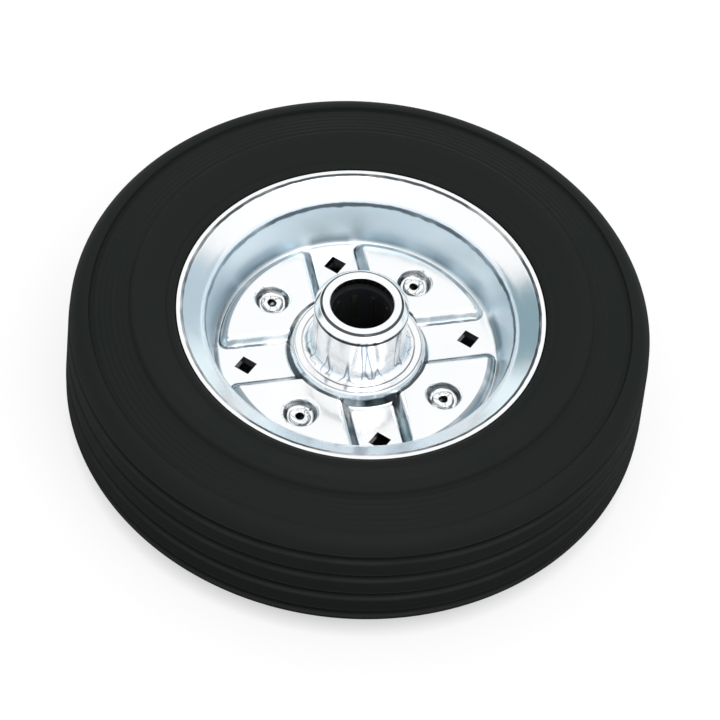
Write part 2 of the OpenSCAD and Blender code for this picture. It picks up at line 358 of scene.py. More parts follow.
class Tree:
    """Short hands for placing and joining nodes in one node tree."""

    def __init__(self, tree: bpy.types.NodeTree) -> None:
        """Keeps the tree that nodes go into.

        Args:
            tree: The node tree.
        """
        self.tree = tree

    def node(self, kind: str, **values: object) -> bpy.types.Node:
        """Adds a node.

        Args:
            kind: The node's type name.
            **values: Properties of the node, set by name.

        Returns:
            The node.
        """
        made = self.tree.nodes.new(kind)
        for key, value in values.items():
            setattr(made, key, value)
        return made

    def join(self, source: Socket, target: Socket) -> None:
        """Links one socket to another.

        Args:
            source: The output.
            target: The input.
        """
        self.tree.links.new(source, target)

    def math(self, operation: str, a: object, b: object = 0.0) -> Socket:
        """Adds a math node.

        Args:
            operation: Name of the operation.
            a: First socket or number.
            b: Second socket or number.

        Returns:
            The result's socket.
        """
        made = self.node("ShaderNodeMath", operation=operation)
        for i, value in enumerate((a, b)):
            if isinstance(value, Socket):
                self.join(value, made.inputs[i])
            else:
                made.inputs[i].default_value = value
        return made.outputs[0]

    def times(self, a: object, b: object) -> Socket:
        """Multiplies two values.

        Args:
            a: First socket or number.
            b: Second socket or number.

        Returns:
            The product's socket.
        """
        return self.math("MULTIPLY", a, b)

    def minus(self, a: object, b: object) -> Socket:
        """Takes one value from another.

        Args:
            a: Socket or number that is taken from.
            b: Socket or number that is taken away.

        Returns:
            The difference's socket.
        """
        return self.math("SUBTRACT", a, b)

    def scaled(self, place: Socket, size: Socket) -> Socket:
        """Divides a place by a size, which becomes the unit of a texture.

        Args:
            place: The place's socket.
            size: The size's socket, in metres.

        Returns:
            The scaled place's socket.
        """
        scale = self.node("ShaderNodeVectorMath", operation="SCALE")
        self.join(place, scale.inputs[0])
        self.join(self.math("DIVIDE", 1.0, size), scale.inputs["Scale"])
        return scale.outputs[0]

    def off_axle(self, place: Socket) -> Socket:
        """Measures how far a place lies from the axle line.

        Args:
            place: The place's socket.

        Returns:
            The distance's socket.
        """
        flat = self.node("ShaderNodeVectorMath", operation="MULTIPLY")
        flat.inputs[1].default_value = (1.0, 1.0, 0.0)
        self.join(place, flat.inputs[0])
        length = self.node("ShaderNodeVectorMath", operation="LENGTH")
        self.join(flat.outputs[0], length.inputs[0])
        return length.outputs["Value"]

    def noise(self, place: Socket, scale: float, detail: float) -> bpy.types.Node:
        """Adds a fractal noise.

        Args:
            place: Socket of the place where it is read.
            scale: How fine it is.
            detail: How many octaves it has.

        Returns:
            The texture's node.
        """
        made = self.node("ShaderNodeTexNoise")
        made.inputs["Scale"].default_value = scale
        made.inputs["Detail"].default_value = detail
        self.join(place, made.inputs["Vector"])
        return made

    def remap(self, value: Socket, low: float, high: float, out_low: float, out_high: float) -> Socket:
        """Maps a value from one range to another, clamped.

        Args:
            value: The value's socket.
            low: Value that gives out_low.
            high: Value that gives out_high.
            out_low: Result at low.
            out_high: Result at high.

        Returns:
            The result's socket.
        """
        made = self.node("ShaderNodeMapRange", clamp=True)
        self.join(value, made.inputs["Value"])
        made.inputs["From Min"].default_value = low
        made.inputs["From Max"].default_value = high
        made.inputs["To Min"].default_value = out_low
        made.inputs["To Max"].default_value = out_high
        return made.outputs["Result"]

    def band(self, value: Socket, low: float, high: float, soft: float) -> Socket:
        """Masks the range of a value, with soft ends outside it.

        Args:
            value: The value's socket.
            low: Where the range starts.
            high: Where it ends.
            soft: Width of the soft edge at each end.

        Returns:
            The mask's socket.
        """
        off = self.math("ABSOLUTE", self.minus(value, (low + high) / 2))
        return self.remap(off, (high - low) / 2, (high - low) / 2 + soft, 1.0, 0.0)

    def darken(self, colour: Socket, mask: Socket, share: float, tone: Colour) -> Socket:
        """Lays a tone over a colour where a mask is.

        Args:
            colour: The colour's socket.
            mask: Where the tone goes.
            share: How much of the tone shows at a full mask.
            tone: The tone.

        Returns:
            The new colour's socket.
        """
        return self.mix(self.times(mask, share), colour, tone)

    def mix(self, factor: object, a: object, b: object) -> Socket:
        """Mixes two colours.

        Args:
            factor: Socket or number, 0 for a and 1 for b.
            a: First socket or colour.
            b: Second socket or colour.

        Returns:
            The mixed colour's socket.
        """
        made = self.node("ShaderNodeMix", data_type="RGBA")
        for socket, value in ((made.inputs[0], factor), (made.inputs[6], a), (made.inputs[7], b)):
            if isinstance(value, Socket):
                self.join(value, socket)
            elif isinstance(value, float):
                socket.default_value = value
            else:
                socket.default_value = (*value, 1.0)
        return made.outputs[2]

    def group(self, name: str, **values: float) -> bpy.types.Node:
        """Places a node group and sets its numbers.

        Args:
            name: Name of the group.
            **values: Input values, with underscores for spaces.

        Returns:
            The group's node.
        """
        made = self.node("ShaderNodeGroup")
        made.node_tree = bpy.data.node_groups[name]
        for key, value in values.items():
            made.inputs[key.replace("_", " ")].default_value = value
        return made


def make_cloud_group() -> None:
    """Soft cloudy variation: a mask from fractal noise at a size in metres."""
    tree, start, end = new_group("cloud", {"Size": 0.02, "Softness": 0.5}, ["Mask"])
    coord = tree.node("ShaderNodeTexCoord")
    noise = tree.noise(tree.scaled(coord.outputs["Object"], start.outputs["Size"]), 1.0, 4.0)
    tree.join(start.outputs["Softness"], noise.inputs["Roughness"])
    tree.join(tree.remap(noise.outputs["Fac"], 0.3, 0.7, 0.0, 1.0), end.inputs["Mask"])


def make_rings_group() -> None:
    """Fine turned or pressed rings around the axle line, uneven and broken up."""
    tree, start, end = new_group("rings", {"Pitch": 0.0008, "Break": 0.5}, ["Mask"])
    coord = tree.node("ShaderNodeTexCoord")
    radius = tree.off_axle(coord.outputs["Object"])
    split = tree.node("ShaderNodeSeparateXYZ")
    tree.join(coord.outputs["Object"], split.inputs[0])
    along = tree.math("ADD", radius, split.outputs["Z"])
    turns = tree.math("DIVIDE", along, start.outputs["Pitch"])
    lines = tree.node("ShaderNodeTexNoise", noise_dimensions="1D")
    lines.inputs["Scale"].default_value = 1.0
    lines.inputs["Detail"].default_value = 3.0
    tree.join(turns, lines.inputs["W"])
    patch = tree.noise(coord.outputs["Object"], 60.0, 2.0)
    kept = tree.minus(1.0, tree.times(patch.outputs["Fac"], start.outputs["Break"]))
    tree.join(tree.times(lines.outputs["Fac"], kept), end.inputs["Mask"])


def make_pits_group() -> None:
    """Tiny pits and specks scattered over a moulded or plated surface."""
    tree, start, end = new_group("pits", {"Size": 0.0006, "Share": 0.15}, ["Mask"])
    coord = tree.node("ShaderNodeTexCoord")
    cells = tree.node("ShaderNodeTexVoronoi")
    cells.inputs["Scale"].default_value = 1.0
    tree.join(tree.scaled(coord.outputs["Object"], start.outputs["Size"]), cells.inputs["Vector"])
    near = tree.math("LESS_THAN", cells.outputs["Distance"], start.outputs["Share"])
    soft = tree.minus(start.outputs["Share"], cells.outputs["Distance"])
    tree.join(tree.times(near, tree.times(soft, 4.0)), end.inputs["Mask"])


def make_pressing_group() -> None:
    """Where a point lies on a pressed dish: how far onto a land, from a rivet, and out."""
    tree, start, end = new_group("pressing", {"Channel Half": 0.0076, "Land Edge": 0.048, "Corner": 0.004,
                                              "Rivet Place": 0.0251, "Wobble": 0.0},
                                 ["Depth", "Beside", "Gap", "Radius", "Height"])
    coord = tree.node("ShaderNodeTexCoord")
    sway = tree.noise(coord.outputs["Object"], 260.0, 1.0)
    off = tree.times(tree.minus(sway.outputs["Fac"], 0.5), start.outputs["Wobble"])
    split = tree.node("ShaderNodeSeparateXYZ")
    tree.join(coord.outputs["Object"], split.inputs[0])
    x, y, z = (tree.math("ABSOLUTE", split.outputs[k]) for k in range(3))

    def reach(a: Socket, b: Socket) -> Socket:
        squares = tree.math("ADD", tree.times(a, a), tree.times(b, b))
        return tree.math("SQRT", squares)

    radius = tree.math("ADD", reach(x, y), off)
    beside = tree.minus(tree.math("MINIMUM", x, y), start.outputs["Channel Half"])
    inside = tree.minus(start.outputs["Land Edge"], radius)
    corner = start.outputs["Corner"]
    u = tree.math("MAXIMUM", tree.minus(corner, beside), 0.0)
    v = tree.math("MAXIMUM", tree.minus(corner, inside), 0.0)
    depth = tree.math("ADD", tree.minus(corner, reach(u, v)), off)
    gap_x = tree.minus(x, start.outputs["Rivet Place"])
    gap_y = tree.minus(y, start.outputs["Rivet Place"])
    tree.join(depth, end.inputs["Depth"])
    tree.join(beside, end.inputs["Beside"])
    tree.join(tree.math("ADD", reach(gap_x, gap_y), off), end.inputs["Gap"])
    tree.join(radius, end.inputs["Radius"])
    tree.join(z, end.inputs["Height"])


def make_streaks_group() -> None:
    """Thin uneven draw marks that run along the axle, as contour lines of a stretched noise."""
    tree, start, end = new_group("streaks", {"Size": 0.004, "Stretch": 0.25, "Width": 0.02}, ["Mask"])
    coord = tree.node("ShaderNodeTexCoord")
    split = tree.node("ShaderNodeSeparateXYZ")
    tree.join(coord.outputs["Object"], split.inputs[0])
    place = tree.node("ShaderNodeCombineXYZ")
    tree.join(split.outputs["X"], place.inputs["X"])
    tree.join(split.outputs["Y"], place.inputs["Y"])
    tree.join(tree.times(split.outputs["Z"], start.outputs["Stretch"]), place.inputs["Z"])
    noise = tree.noise(tree.scaled(place.outputs[0], start.outputs["Size"]), 1.0, 1.5)
    off = tree.math("ABSOLUTE", tree.minus(noise.outputs["Fac"], 0.5))
    line = tree.minus(1.0, tree.math("DIVIDE", off, start.outputs["Width"]))
    tree.join(tree.math("MAXIMUM", line, 0.0), end.inputs["Mask"])


def new_material(name: str) -> tuple[Material, Tree, bpy.types.Node]:
    """Starts a material with one Principled shader.

    Args:
        name: Name of the material.

    Returns:
        The material, its tree and the shader's node.
    """
    mat = bpy.data.materials.new(name)
    mat.use_nodes = True
    tree = Tree(mat.node_tree)
    return mat, tree, mat.node_tree.nodes["Principled BSDF"]


def add_bump(tree: Tree, shader: bpy.types.Node, heights: Sequence[tuple[Socket, float]]) -> None:
    """Feeds the shader's normal from several heights.

    Args:
        tree: The material's tree.
        shader: The shader's node.
        heights: Height sockets and how deep each is, in metres.
    """
    total: Socket | None = None
    for socket, depth in heights:
        part = tree.times(socket, depth)
        total = part if total is None else tree.math("ADD", total, part)
    bump = tree.node("ShaderNodeBump")
    bump.inputs["Strength"].default_value = 1.0
    bump.inputs["Distance"].default_value = 1.0
    tree.join(total, bump.inputs["Height"])
    tree.join(bump.outputs["Normal"], shader.inputs["Normal"])


# Finishes


@dataclass(frozen=True)
class RubberFinish:
    """Black moulded rubber, matt, with a painted highlight along the grooves' lips and painted shade in the grooves.

    A reach gives two depths below the tread: where a mask starts and where it is full.
    """

    tread_r: float
    groove_pitch: float
    groove_w: float
    name: str = "black_rubber"
    colour: Colour = (0.0078, 0.0102, 0.0084)
    bloom: Colour = (0.0106, 0.0136, 0.0114)
    lip_highlight: Colour = (0.0165, 0.0200, 0.0175)
    groove_shade: Colour = (0.0040, 0.0050, 0.0044)
    roughness: float = 0.58
    specular: float = 0.12
    ring_depth: float = 0.00006
    pit_depth: float = 0.00003
    lip_half: float = 0.5 * MM
    lip_soft: float = 0.35 * MM
    lip_reach: tuple[float, float] = (1.9 * MM, 1.3 * MM)
    hollow_edge: tuple[float, float] = (0.8 * MM, 0.3 * MM)
    hollow_reach: tuple[float, float] = (8 * MM, 6 * MM)

    def tread_masks(self, tree: Tree) -> tuple[Socket, Socket]:
        """Finds the grooves across the tread.

        Args:
            tree: The material's tree.

        Returns:
            Masks of the painted highlight on the grooves' lips and of the painted shade in the grooves.
        """
        here = tree.group("pressing")
        radius, height = here.outputs["Radius"], here.outputs["Height"]
        place = tree.math("MODULO", height, self.groove_pitch)
        across = tree.math("ABSOLUTE", tree.minus(place, self.groove_pitch / 2))
        half = self.groove_w / 2

        def reached(reach: tuple[float, float]) -> Socket:
            return tree.remap(radius, self.tread_r - reach[0], self.tread_r - reach[1], 0.0, 1.0)

        # patches that break up the painted lip highlight
        lip_patches = tree.group("cloud", Size=0.018, Softness=0.5).outputs["Mask"]
        lips = tree.times(tree.band(across, half - self.lip_half, half + self.lip_half, self.lip_soft),
                          reached(self.lip_reach))
        inside = tree.remap(across, half - self.hollow_edge[0], half - self.hollow_edge[1], 1.0, 0.0)
        groove_shade_mask = tree.times(inside, reached(self.hollow_reach))
        return tree.times(lips, tree.remap(lip_patches, 0.2, 0.7, 0.5, 1.0)), groove_shade_mask

    def build(self) -> Material:
        """Returns the finish as a material."""
        mat, tree, shader = new_material(self.name)
        cloud = tree.group("cloud", Size=0.035, Softness=0.6)
        rings = tree.group("rings", Pitch=0.0011, Break=0.5)
        pits = tree.group("pits", Size=0.0011, Share=0.16)
        bloom = tree.times(cloud.outputs["Mask"], rings.outputs["Mask"])
        lips, groove_shade_mask = self.tread_masks(tree)
        # painted highlight along the grooves' lips
        colour = tree.mix(lips, tree.mix(bloom, self.colour, self.bloom), self.lip_highlight)
        # painted shade in the grooves
        tree.join(tree.mix(groove_shade_mask, colour, self.groove_shade), shader.inputs["Base Color"])
        tree.join(tree.remap(cloud.outputs["Mask"], 0.0, 1.0, self.roughness - 0.06, self.roughness + 0.08),
                  shader.inputs["Roughness"])
        shader.inputs["Specular IOR Level"].default_value = self.specular
        add_bump(tree, shader, [(rings.outputs["Mask"], self.ring_depth), (pits.outputs["Mask"], -self.pit_depth)])
        return mat


@dataclass(frozen=True)
class PlatedFinish:
    """Bright zinc plating over pressed steel, faintly blue, with drawing marks.

    Each dark ring, a painted shade line, is a radius and a half width. The dark foot, painted shadow at the foot of
    the outer wall, reaches up to a height.
    """

    name: str
    colour: Colour = (0.985, 0.99, 0.995)
    shade: Colour = (0.95, 0.968, 0.985)
    roughness: float = 0.16
    roughness_spread: float = 0.10
    ring_depth: float = 0.0000035
    ripple_depth: float = 0.00006
    pit_depth: float = 0.000004
    dark_tone: Colour = (0.035, 0.050, 0.060)
    dark_share: float = 0.95
    dark_rings: tuple[tuple[float, float], ...] = ()
    dark_foot: float = 0.0
    foot_r: float = 15.9 * MM

    def darkened(self, tree: Tree, plating: Socket) -> Socket:
        """Lays the dark rings and the dark foot of the outer wall, both painted shade, over the plating.

        Args:
            tree: The material's tree.
            plating: The clean plating's colour.

        Returns:
            The stained colour's socket.
        """
        here = tree.group("pressing", Wobble=0.0002)
        radius, height = here.outputs["Radius"], here.outputs["Height"]
        outer = tree.remap(radius, self.foot_r - 0.1 * MM, self.foot_r, 0.0, 1.0)
        foot = tree.remap(height, self.dark_foot, self.dark_foot + 0.15 * MM, 1.0, 0.0)
        # painted shadow at the foot of the outer wall
        plating = tree.darken(plating, tree.times(outer, foot), self.dark_share, self.dark_tone)
        # painted shade lines around the axle
        for ring_r, half in self.dark_rings:
            ring = tree.band(radius, ring_r - half, ring_r + half, 0.12 * MM)
            plating = tree.darken(plating, ring, self.dark_share, self.dark_tone)
        return plating

    def drawn(self, tree: Tree, rough: Socket) -> Socket:
        """Leaves the roughness as it is, for steel that wasn't drawn.

        Args:
            tree: The material's tree.
            rough: The flat steel's roughness.

        Returns:
            The roughness's socket.
        """
        return rough

    def build(self) -> Material:
        """Returns the finish as a material."""
        mat, tree, shader = new_material(self.name)
        broad = tree.group("cloud", Size=0.022, Softness=0.45)
        fine = tree.group("cloud", Size=0.003, Softness=0.6)
        rings = tree.group("rings", Pitch=0.00045, Break=0.8)
        pits = tree.group("pits", Size=0.0009, Share=0.10)
        shader.inputs["Metallic"].default_value = 1.0
        plating = tree.mix(broad.outputs["Mask"], self.colour, self.shade)
        tree.join(self.darkened(tree, plating), shader.inputs["Base Color"])
        wear = tree.times(fine.outputs["Mask"], broad.outputs["Mask"])
        rough = tree.remap(wear, 0.0, 1.0, self.roughness, self.roughness + self.roughness_spread)
        tree.join(self.drawn(tree, rough), shader.inputs["Roughness"])
        add_bump(tree, shader, [
            (rings.outputs["Mask"], self.ring_depth),
            (broad.outputs["Mask"], self.ripple_depth),
            (pits.outputs["Mask"], -self.pit_depth),
        ])
        return mat


@dataclass(frozen=True)
class DishFinish(PlatedFinish):
    """Plating of a pressed dish: painted shade along its bends, in its channels, dimples and square holes, and a
    painted blue reflection on its drawn wall.
    """

    channel_half: float = 7.6 * MM
    land_edge: float = 48.0 * MM
    land_corner: float = 4.0 * MM
    rivet_place: float = 25.1 * MM
    dimple_r: float = 6.0 * MM
    boss_foot_r: float = 24.4 * MM
    boss_r: float = 22.5 * MM
    neck_r: float = 16.2 * MM
    neck_top: float = 25.3 * MM
    wall_foot_r: float = 49.3 * MM
    wall_top_r: float = 53.4 * MM
    lip_in_r: float = 61.6 * MM
    wall_foot_z: float = 2.5 * MM
    wall_top_z: float = 18.0 * MM
    wall_reflection_blue: Colour = (0.80, 0.93, 1.0)
    wall_top_reflection: Colour = (0.62, 0.80, 0.94)
    side_grey: Colour = (0.22, 0.275, 0.31)
    draw_blue: Colour = (0.04, 0.09, 0.16)
    wall_dull: float = 0.21
    neck_dull: float = 0.12
    square_place: float = 39.2 * MM
    square_reach: float = 3.82 * MM
    hole_shade: Colour = (0.006, 0.007, 0.008)

    def darkened(self, tree: Tree, plating: Socket) -> Socket:
        """Lays the dish's painted shade and its painted blue reflection over the plating.

        Args:
            tree: The material's tree.
            plating: The clean plating's colour.

        Returns:
            The stained colour's socket.
        """
        here = tree.group("pressing", Channel_Half=self.channel_half, Land_Edge=self.land_edge,
                          Corner=self.land_corner, Rivet_Place=self.rivet_place, Wobble=0.0004)
        depth, gap = here.outputs["Depth"], here.outputs["Gap"]
        radius, height = here.outputs["Radius"], here.outputs["Height"]
        patches = tree.group("cloud", Size=0.010, Softness=0.4).outputs["Mask"]
        uneven = tree.remap(patches, 0.15, 0.50, 0.55, 1.0)
        disc = tree.band(radius, self.boss_foot_r, self.wall_foot_r, 0.3 * MM)
        # painted blue reflection on the drawn wall, deeper towards its top
        wall = tree.times(tree.band(radius, self.wall_foot_r, self.wall_top_r, 1.5 * MM),
                          tree.band(height, self.wall_foot_z, self.wall_top_z, 1.2 * MM))
        plating = tree.darken(plating, wall, 0.9, self.wall_reflection_blue)
        upper = tree.remap(height, self.wall_top_z - 4 * MM, self.wall_top_z + 1 * MM, 0.0, 1.0)
        plating = tree.darken(plating, tree.times(wall, tree.times(upper, upper)), 0.7, self.wall_top_reflection)
        # painted shade at the channels' ends, on their sides and on the dimples' walls
        ends = tree.times(tree.band(radius, self.wall_foot_r - 0.6 * MM, self.wall_foot_r + 1.0 * MM, 0.9 * MM),
                          tree.remap(here.outputs["Beside"], -1.5 * MM, 1.0 * MM, 1.0, 0.0))
        low_end = tree.remap(height, self.wall_foot_z + 1 * MM, self.wall_foot_z + 4 * MM, 1.0, 0.0)
        plating = tree.darken(plating, tree.times(ends, low_end), 0.7, self.side_grey)
        sides = tree.times(disc, tree.band(depth, 0.6 * MM, 2.7 * MM, 0.35 * MM))
        plating = tree.darken(plating, tree.times(sides, uneven), 0.85, self.side_grey)
        wells = tree.band(gap, self.dimple_r - 1.1 * MM, self.dimple_r - 0.25 * MM, 0.2 * MM)
        plating = tree.darken(plating, tree.times(tree.times(wells, disc), uneven), 0.8, self.dark_tone)
        # painted shade: thin dark lines along the bends, at the lands' foot and at the boss's foot
        foot = tree.times(disc, tree.band(depth, -0.05 * MM, 0.45 * MM, 0.18 * MM))
        plating = tree.darken(plating, tree.times(foot, uneven), self.dark_share, self.dark_tone)
        boss = tree.band(radius, self.boss_foot_r - 1.0 * MM, self.boss_foot_r - 0.05 * MM, 0.2 * MM)
        plating = tree.darken(plating, tree.times(boss, uneven), self.dark_share, self.dark_tone)
        lines = ((self.boss_r - 0.7 * MM, 0.14 * MM, 0.75), (self.neck_r + 3.2 * MM, 0.18 * MM, 0.85),
                 (self.wall_top_r - 0.2 * MM, 0.24 * MM, 0.85), (self.lip_in_r, 0.42 * MM, self.dark_share))
        slow = tree.group("cloud", Size=0.040, Softness=0.6).outputs["Mask"]
        broken = tree.remap(slow, 0.25, 0.65, 0.35, 1.0)
        for line_r, half, share in lines:
            line = tree.times(tree.band(radius, line_r - half, line_r + half, 0.15 * MM), broken)
            plating = tree.darken(plating, line, share, self.dark_tone)
        # draw marks on the neck, and the shadowed edge under the end ring
        neck = tree.times(tree.band(radius, self.neck_r - 1 * MM, self.neck_r + 2.6 * MM, 0.6 * MM),
                          tree.band(height, 7.0 * MM, self.neck_top + 1 * MM, 0.5 * MM))
        marks = tree.group("streaks", Size=0.0056, Stretch=0.09, Width=0.026).outputs["Mask"]
        plating = tree.darken(plating, tree.times(neck, marks), 0.85, self.draw_blue)
        edge = tree.times(neck, tree.remap(height, self.neck_top - 0.7 * MM, self.neck_top - 0.5 * MM, 0.0, 1.0))
        plating = tree.darken(plating, edge, self.dark_share, self.dark_tone)
        # the square holes' walls painted black: painted shade, so that the holes look dark
        return tree.darken(plating, self.punched(tree), 1.0, self.hole_shade)

    def punched(self, tree: Tree) -> Socket:
        """Finds the square holes' walls, where black is painted as shade.

        Args:
            tree: The material's tree.

        Returns:
            Their mask.
        """
        here = tree.group("pressing", Channel_Half=self.channel_half)
        radius = here.outputs["Radius"]
        beside = tree.math("ADD", here.outputs["Beside"], self.channel_half)
        squares = tree.minus(tree.times(radius, radius), tree.times(beside, beside))
        along = tree.math("SQRT", tree.math("MAXIMUM", squares, 0.0))
        away = tree.math("ADD", tree.math("ABSOLUTE", tree.minus(along, self.square_place)), beside)
        return tree.remap(away, self.square_reach + 0.06 * MM, self.square_reach + 0.2 * MM, 1.0, 0.0)

    def drawn(self, tree: Tree, rough: Socket) -> Socket:
        """Makes the drawn wall and the neck duller than the flat steel.

        Args:
            tree: The material's tree.
            rough: The flat steel's roughness.

        Returns:
            The roughness's socket.
        """
        here = tree.group("pressing")
        radius, height = here.outputs["Radius"], here.outputs["Height"]
        wall = tree.band(radius, self.wall_foot_r, self.wall_top_r, 1.5 * MM)
        neck = tree.times(tree.band(radius, self.neck_r - 1 * MM, self.neck_r + 3 * MM, 1 * MM),
                          tree.remap(height, self.wall_foot_z, self.wall_foot_z + 6 * MM, 0.0, 1.0))
        dull = tree.math("ADD", tree.times(wall, self.wall_dull), tree.times(neck, self.neck_dull))
        return tree.math("ADD", rough, dull)


@dataclass(frozen=True)
class RivetFinish(PlatedFinish):
    """Plating of a rivet, with painted shade in its mouth and on the rim of its head."""

    rivet_place: float = 25.1 * MM
    hole_r: float = 1.3 * MM
    head_r: float = 3.9 * MM
    mouth_shade: Colour = (0.006, 0.007, 0.008)

    def darkened(self, tree: Tree, plating: Socket) -> Socket:
        """Darkens the mouth and the head's rim with painted shade, and broken marks between them.

        Args:
            tree: The material's tree.
            plating: The clean plating's colour.

        Returns:
            The stained colour's socket.
        """
        gap = tree.group("pressing", Rivet_Place=self.rivet_place, Wobble=0.0012).outputs["Gap"]
        mouth = tree.band(gap, 0.0, self.hole_r + 0.15 * MM, 0.15 * MM)
        rim = tree.remap(gap, self.head_r - 0.5 * MM, self.head_r - 0.2 * MM, 0.0, 1.0)
        marks = tree.group("streaks", Size=0.0035, Stretch=1.0, Width=0.03).outputs["Mask"]
        plating = tree.darken(plating, marks, 0.75, self.dark_tone)
        # painted shade on the head's rolled rim, and black painted shade in its mouth
        plating = tree.darken(plating, rim, 0.8, self.dark_tone)
        return tree.darken(plating, mouth, 1.0, self.mouth_shade)


@dataclass(frozen=True)
class GroundSteelFinish:
    """Ground bearing steel under a film of grease."""

    name: str = "ground_steel"
    colour: Colour = (0.42, 0.42, 0.41)
    grease: Colour = (0.16, 0.12, 0.06)
    grease_share: float = 0.55
    film_coat: float = 0.35
    film_depth: float = 0.00003
    roughness: float = 0.28

    def build(self) -> Material:
        """Returns the finish as a material."""
        mat, tree, shader = new_material(self.name)
        film = tree.group("cloud", Size=0.006, Softness=0.5)
        shader.inputs["Metallic"].default_value = 1.0
        amount = tree.times(film.outputs["Mask"], self.grease_share)
        tree.join(tree.mix(amount, self.colour, self.grease), shader.inputs["Base Color"])
        tree.join(tree.remap(film.outputs["Mask"], 0.0, 1.0, self.roughness, self.roughness + 0.2),
                  shader.inputs["Roughness"])
        shader.inputs["Coat Weight"].default_value = self.film_coat
        shader.inputs["Coat Roughness"].default_value = 0.12
        add_bump(tree, shader, [(film.outputs["Mask"], self.film_depth)])
        return mat


@dataclass(frozen=True)
class CagePlasticFinish:
    """Black moulded polyamide with a faint grain."""

    name: str = "cage_polyamide"
    colour: Colour = (0.010, 0.011, 0.012)
    lighter: Colour = (0.020, 0.022, 0.024)
    roughness: float = 0.48
    grain_depth: float = 0.00002

    def build(self) -> Material:
        """Returns the finish as a material."""
        mat, tree, shader = new_material(self.name)
        grain = tree.group("cloud", Size=0.0008, Softness=0.7)
        broad = tree.group("cloud", Size=0.008, Softness=0.5)
        tree.join(tree.mix(broad.outputs["Mask"], self.colour, self.lighter), shader.inputs["Base Color"])
        tree.join(tree.remap(grain.outputs["Mask"], 0.0, 1.0, self.roughness, self.roughness + 0.12),
                  shader.inputs["Roughness"])
        shader.inputs["Specular IOR Level"].default_value = 0.3
        add_bump(tree, shader, [(grain.outputs["Mask"], self.grain_depth)])
        return mat


def dress(obj: Object, material: Material) -> None:
    """Gives a piece one material in place of any it has.

    Args:
        obj: The piece.
        material: Its material.
    """
    obj.data.materials.clear()
    obj.data.materials.append(material)


def report(obj: Object) -> None:
    """Logs a piece's name and how many faces it has.

    Args:
        obj: The piece.
    """
    LOG.info("%s: %d faces", obj.name, len(obj.data.polygons))


# Sub-assemblies


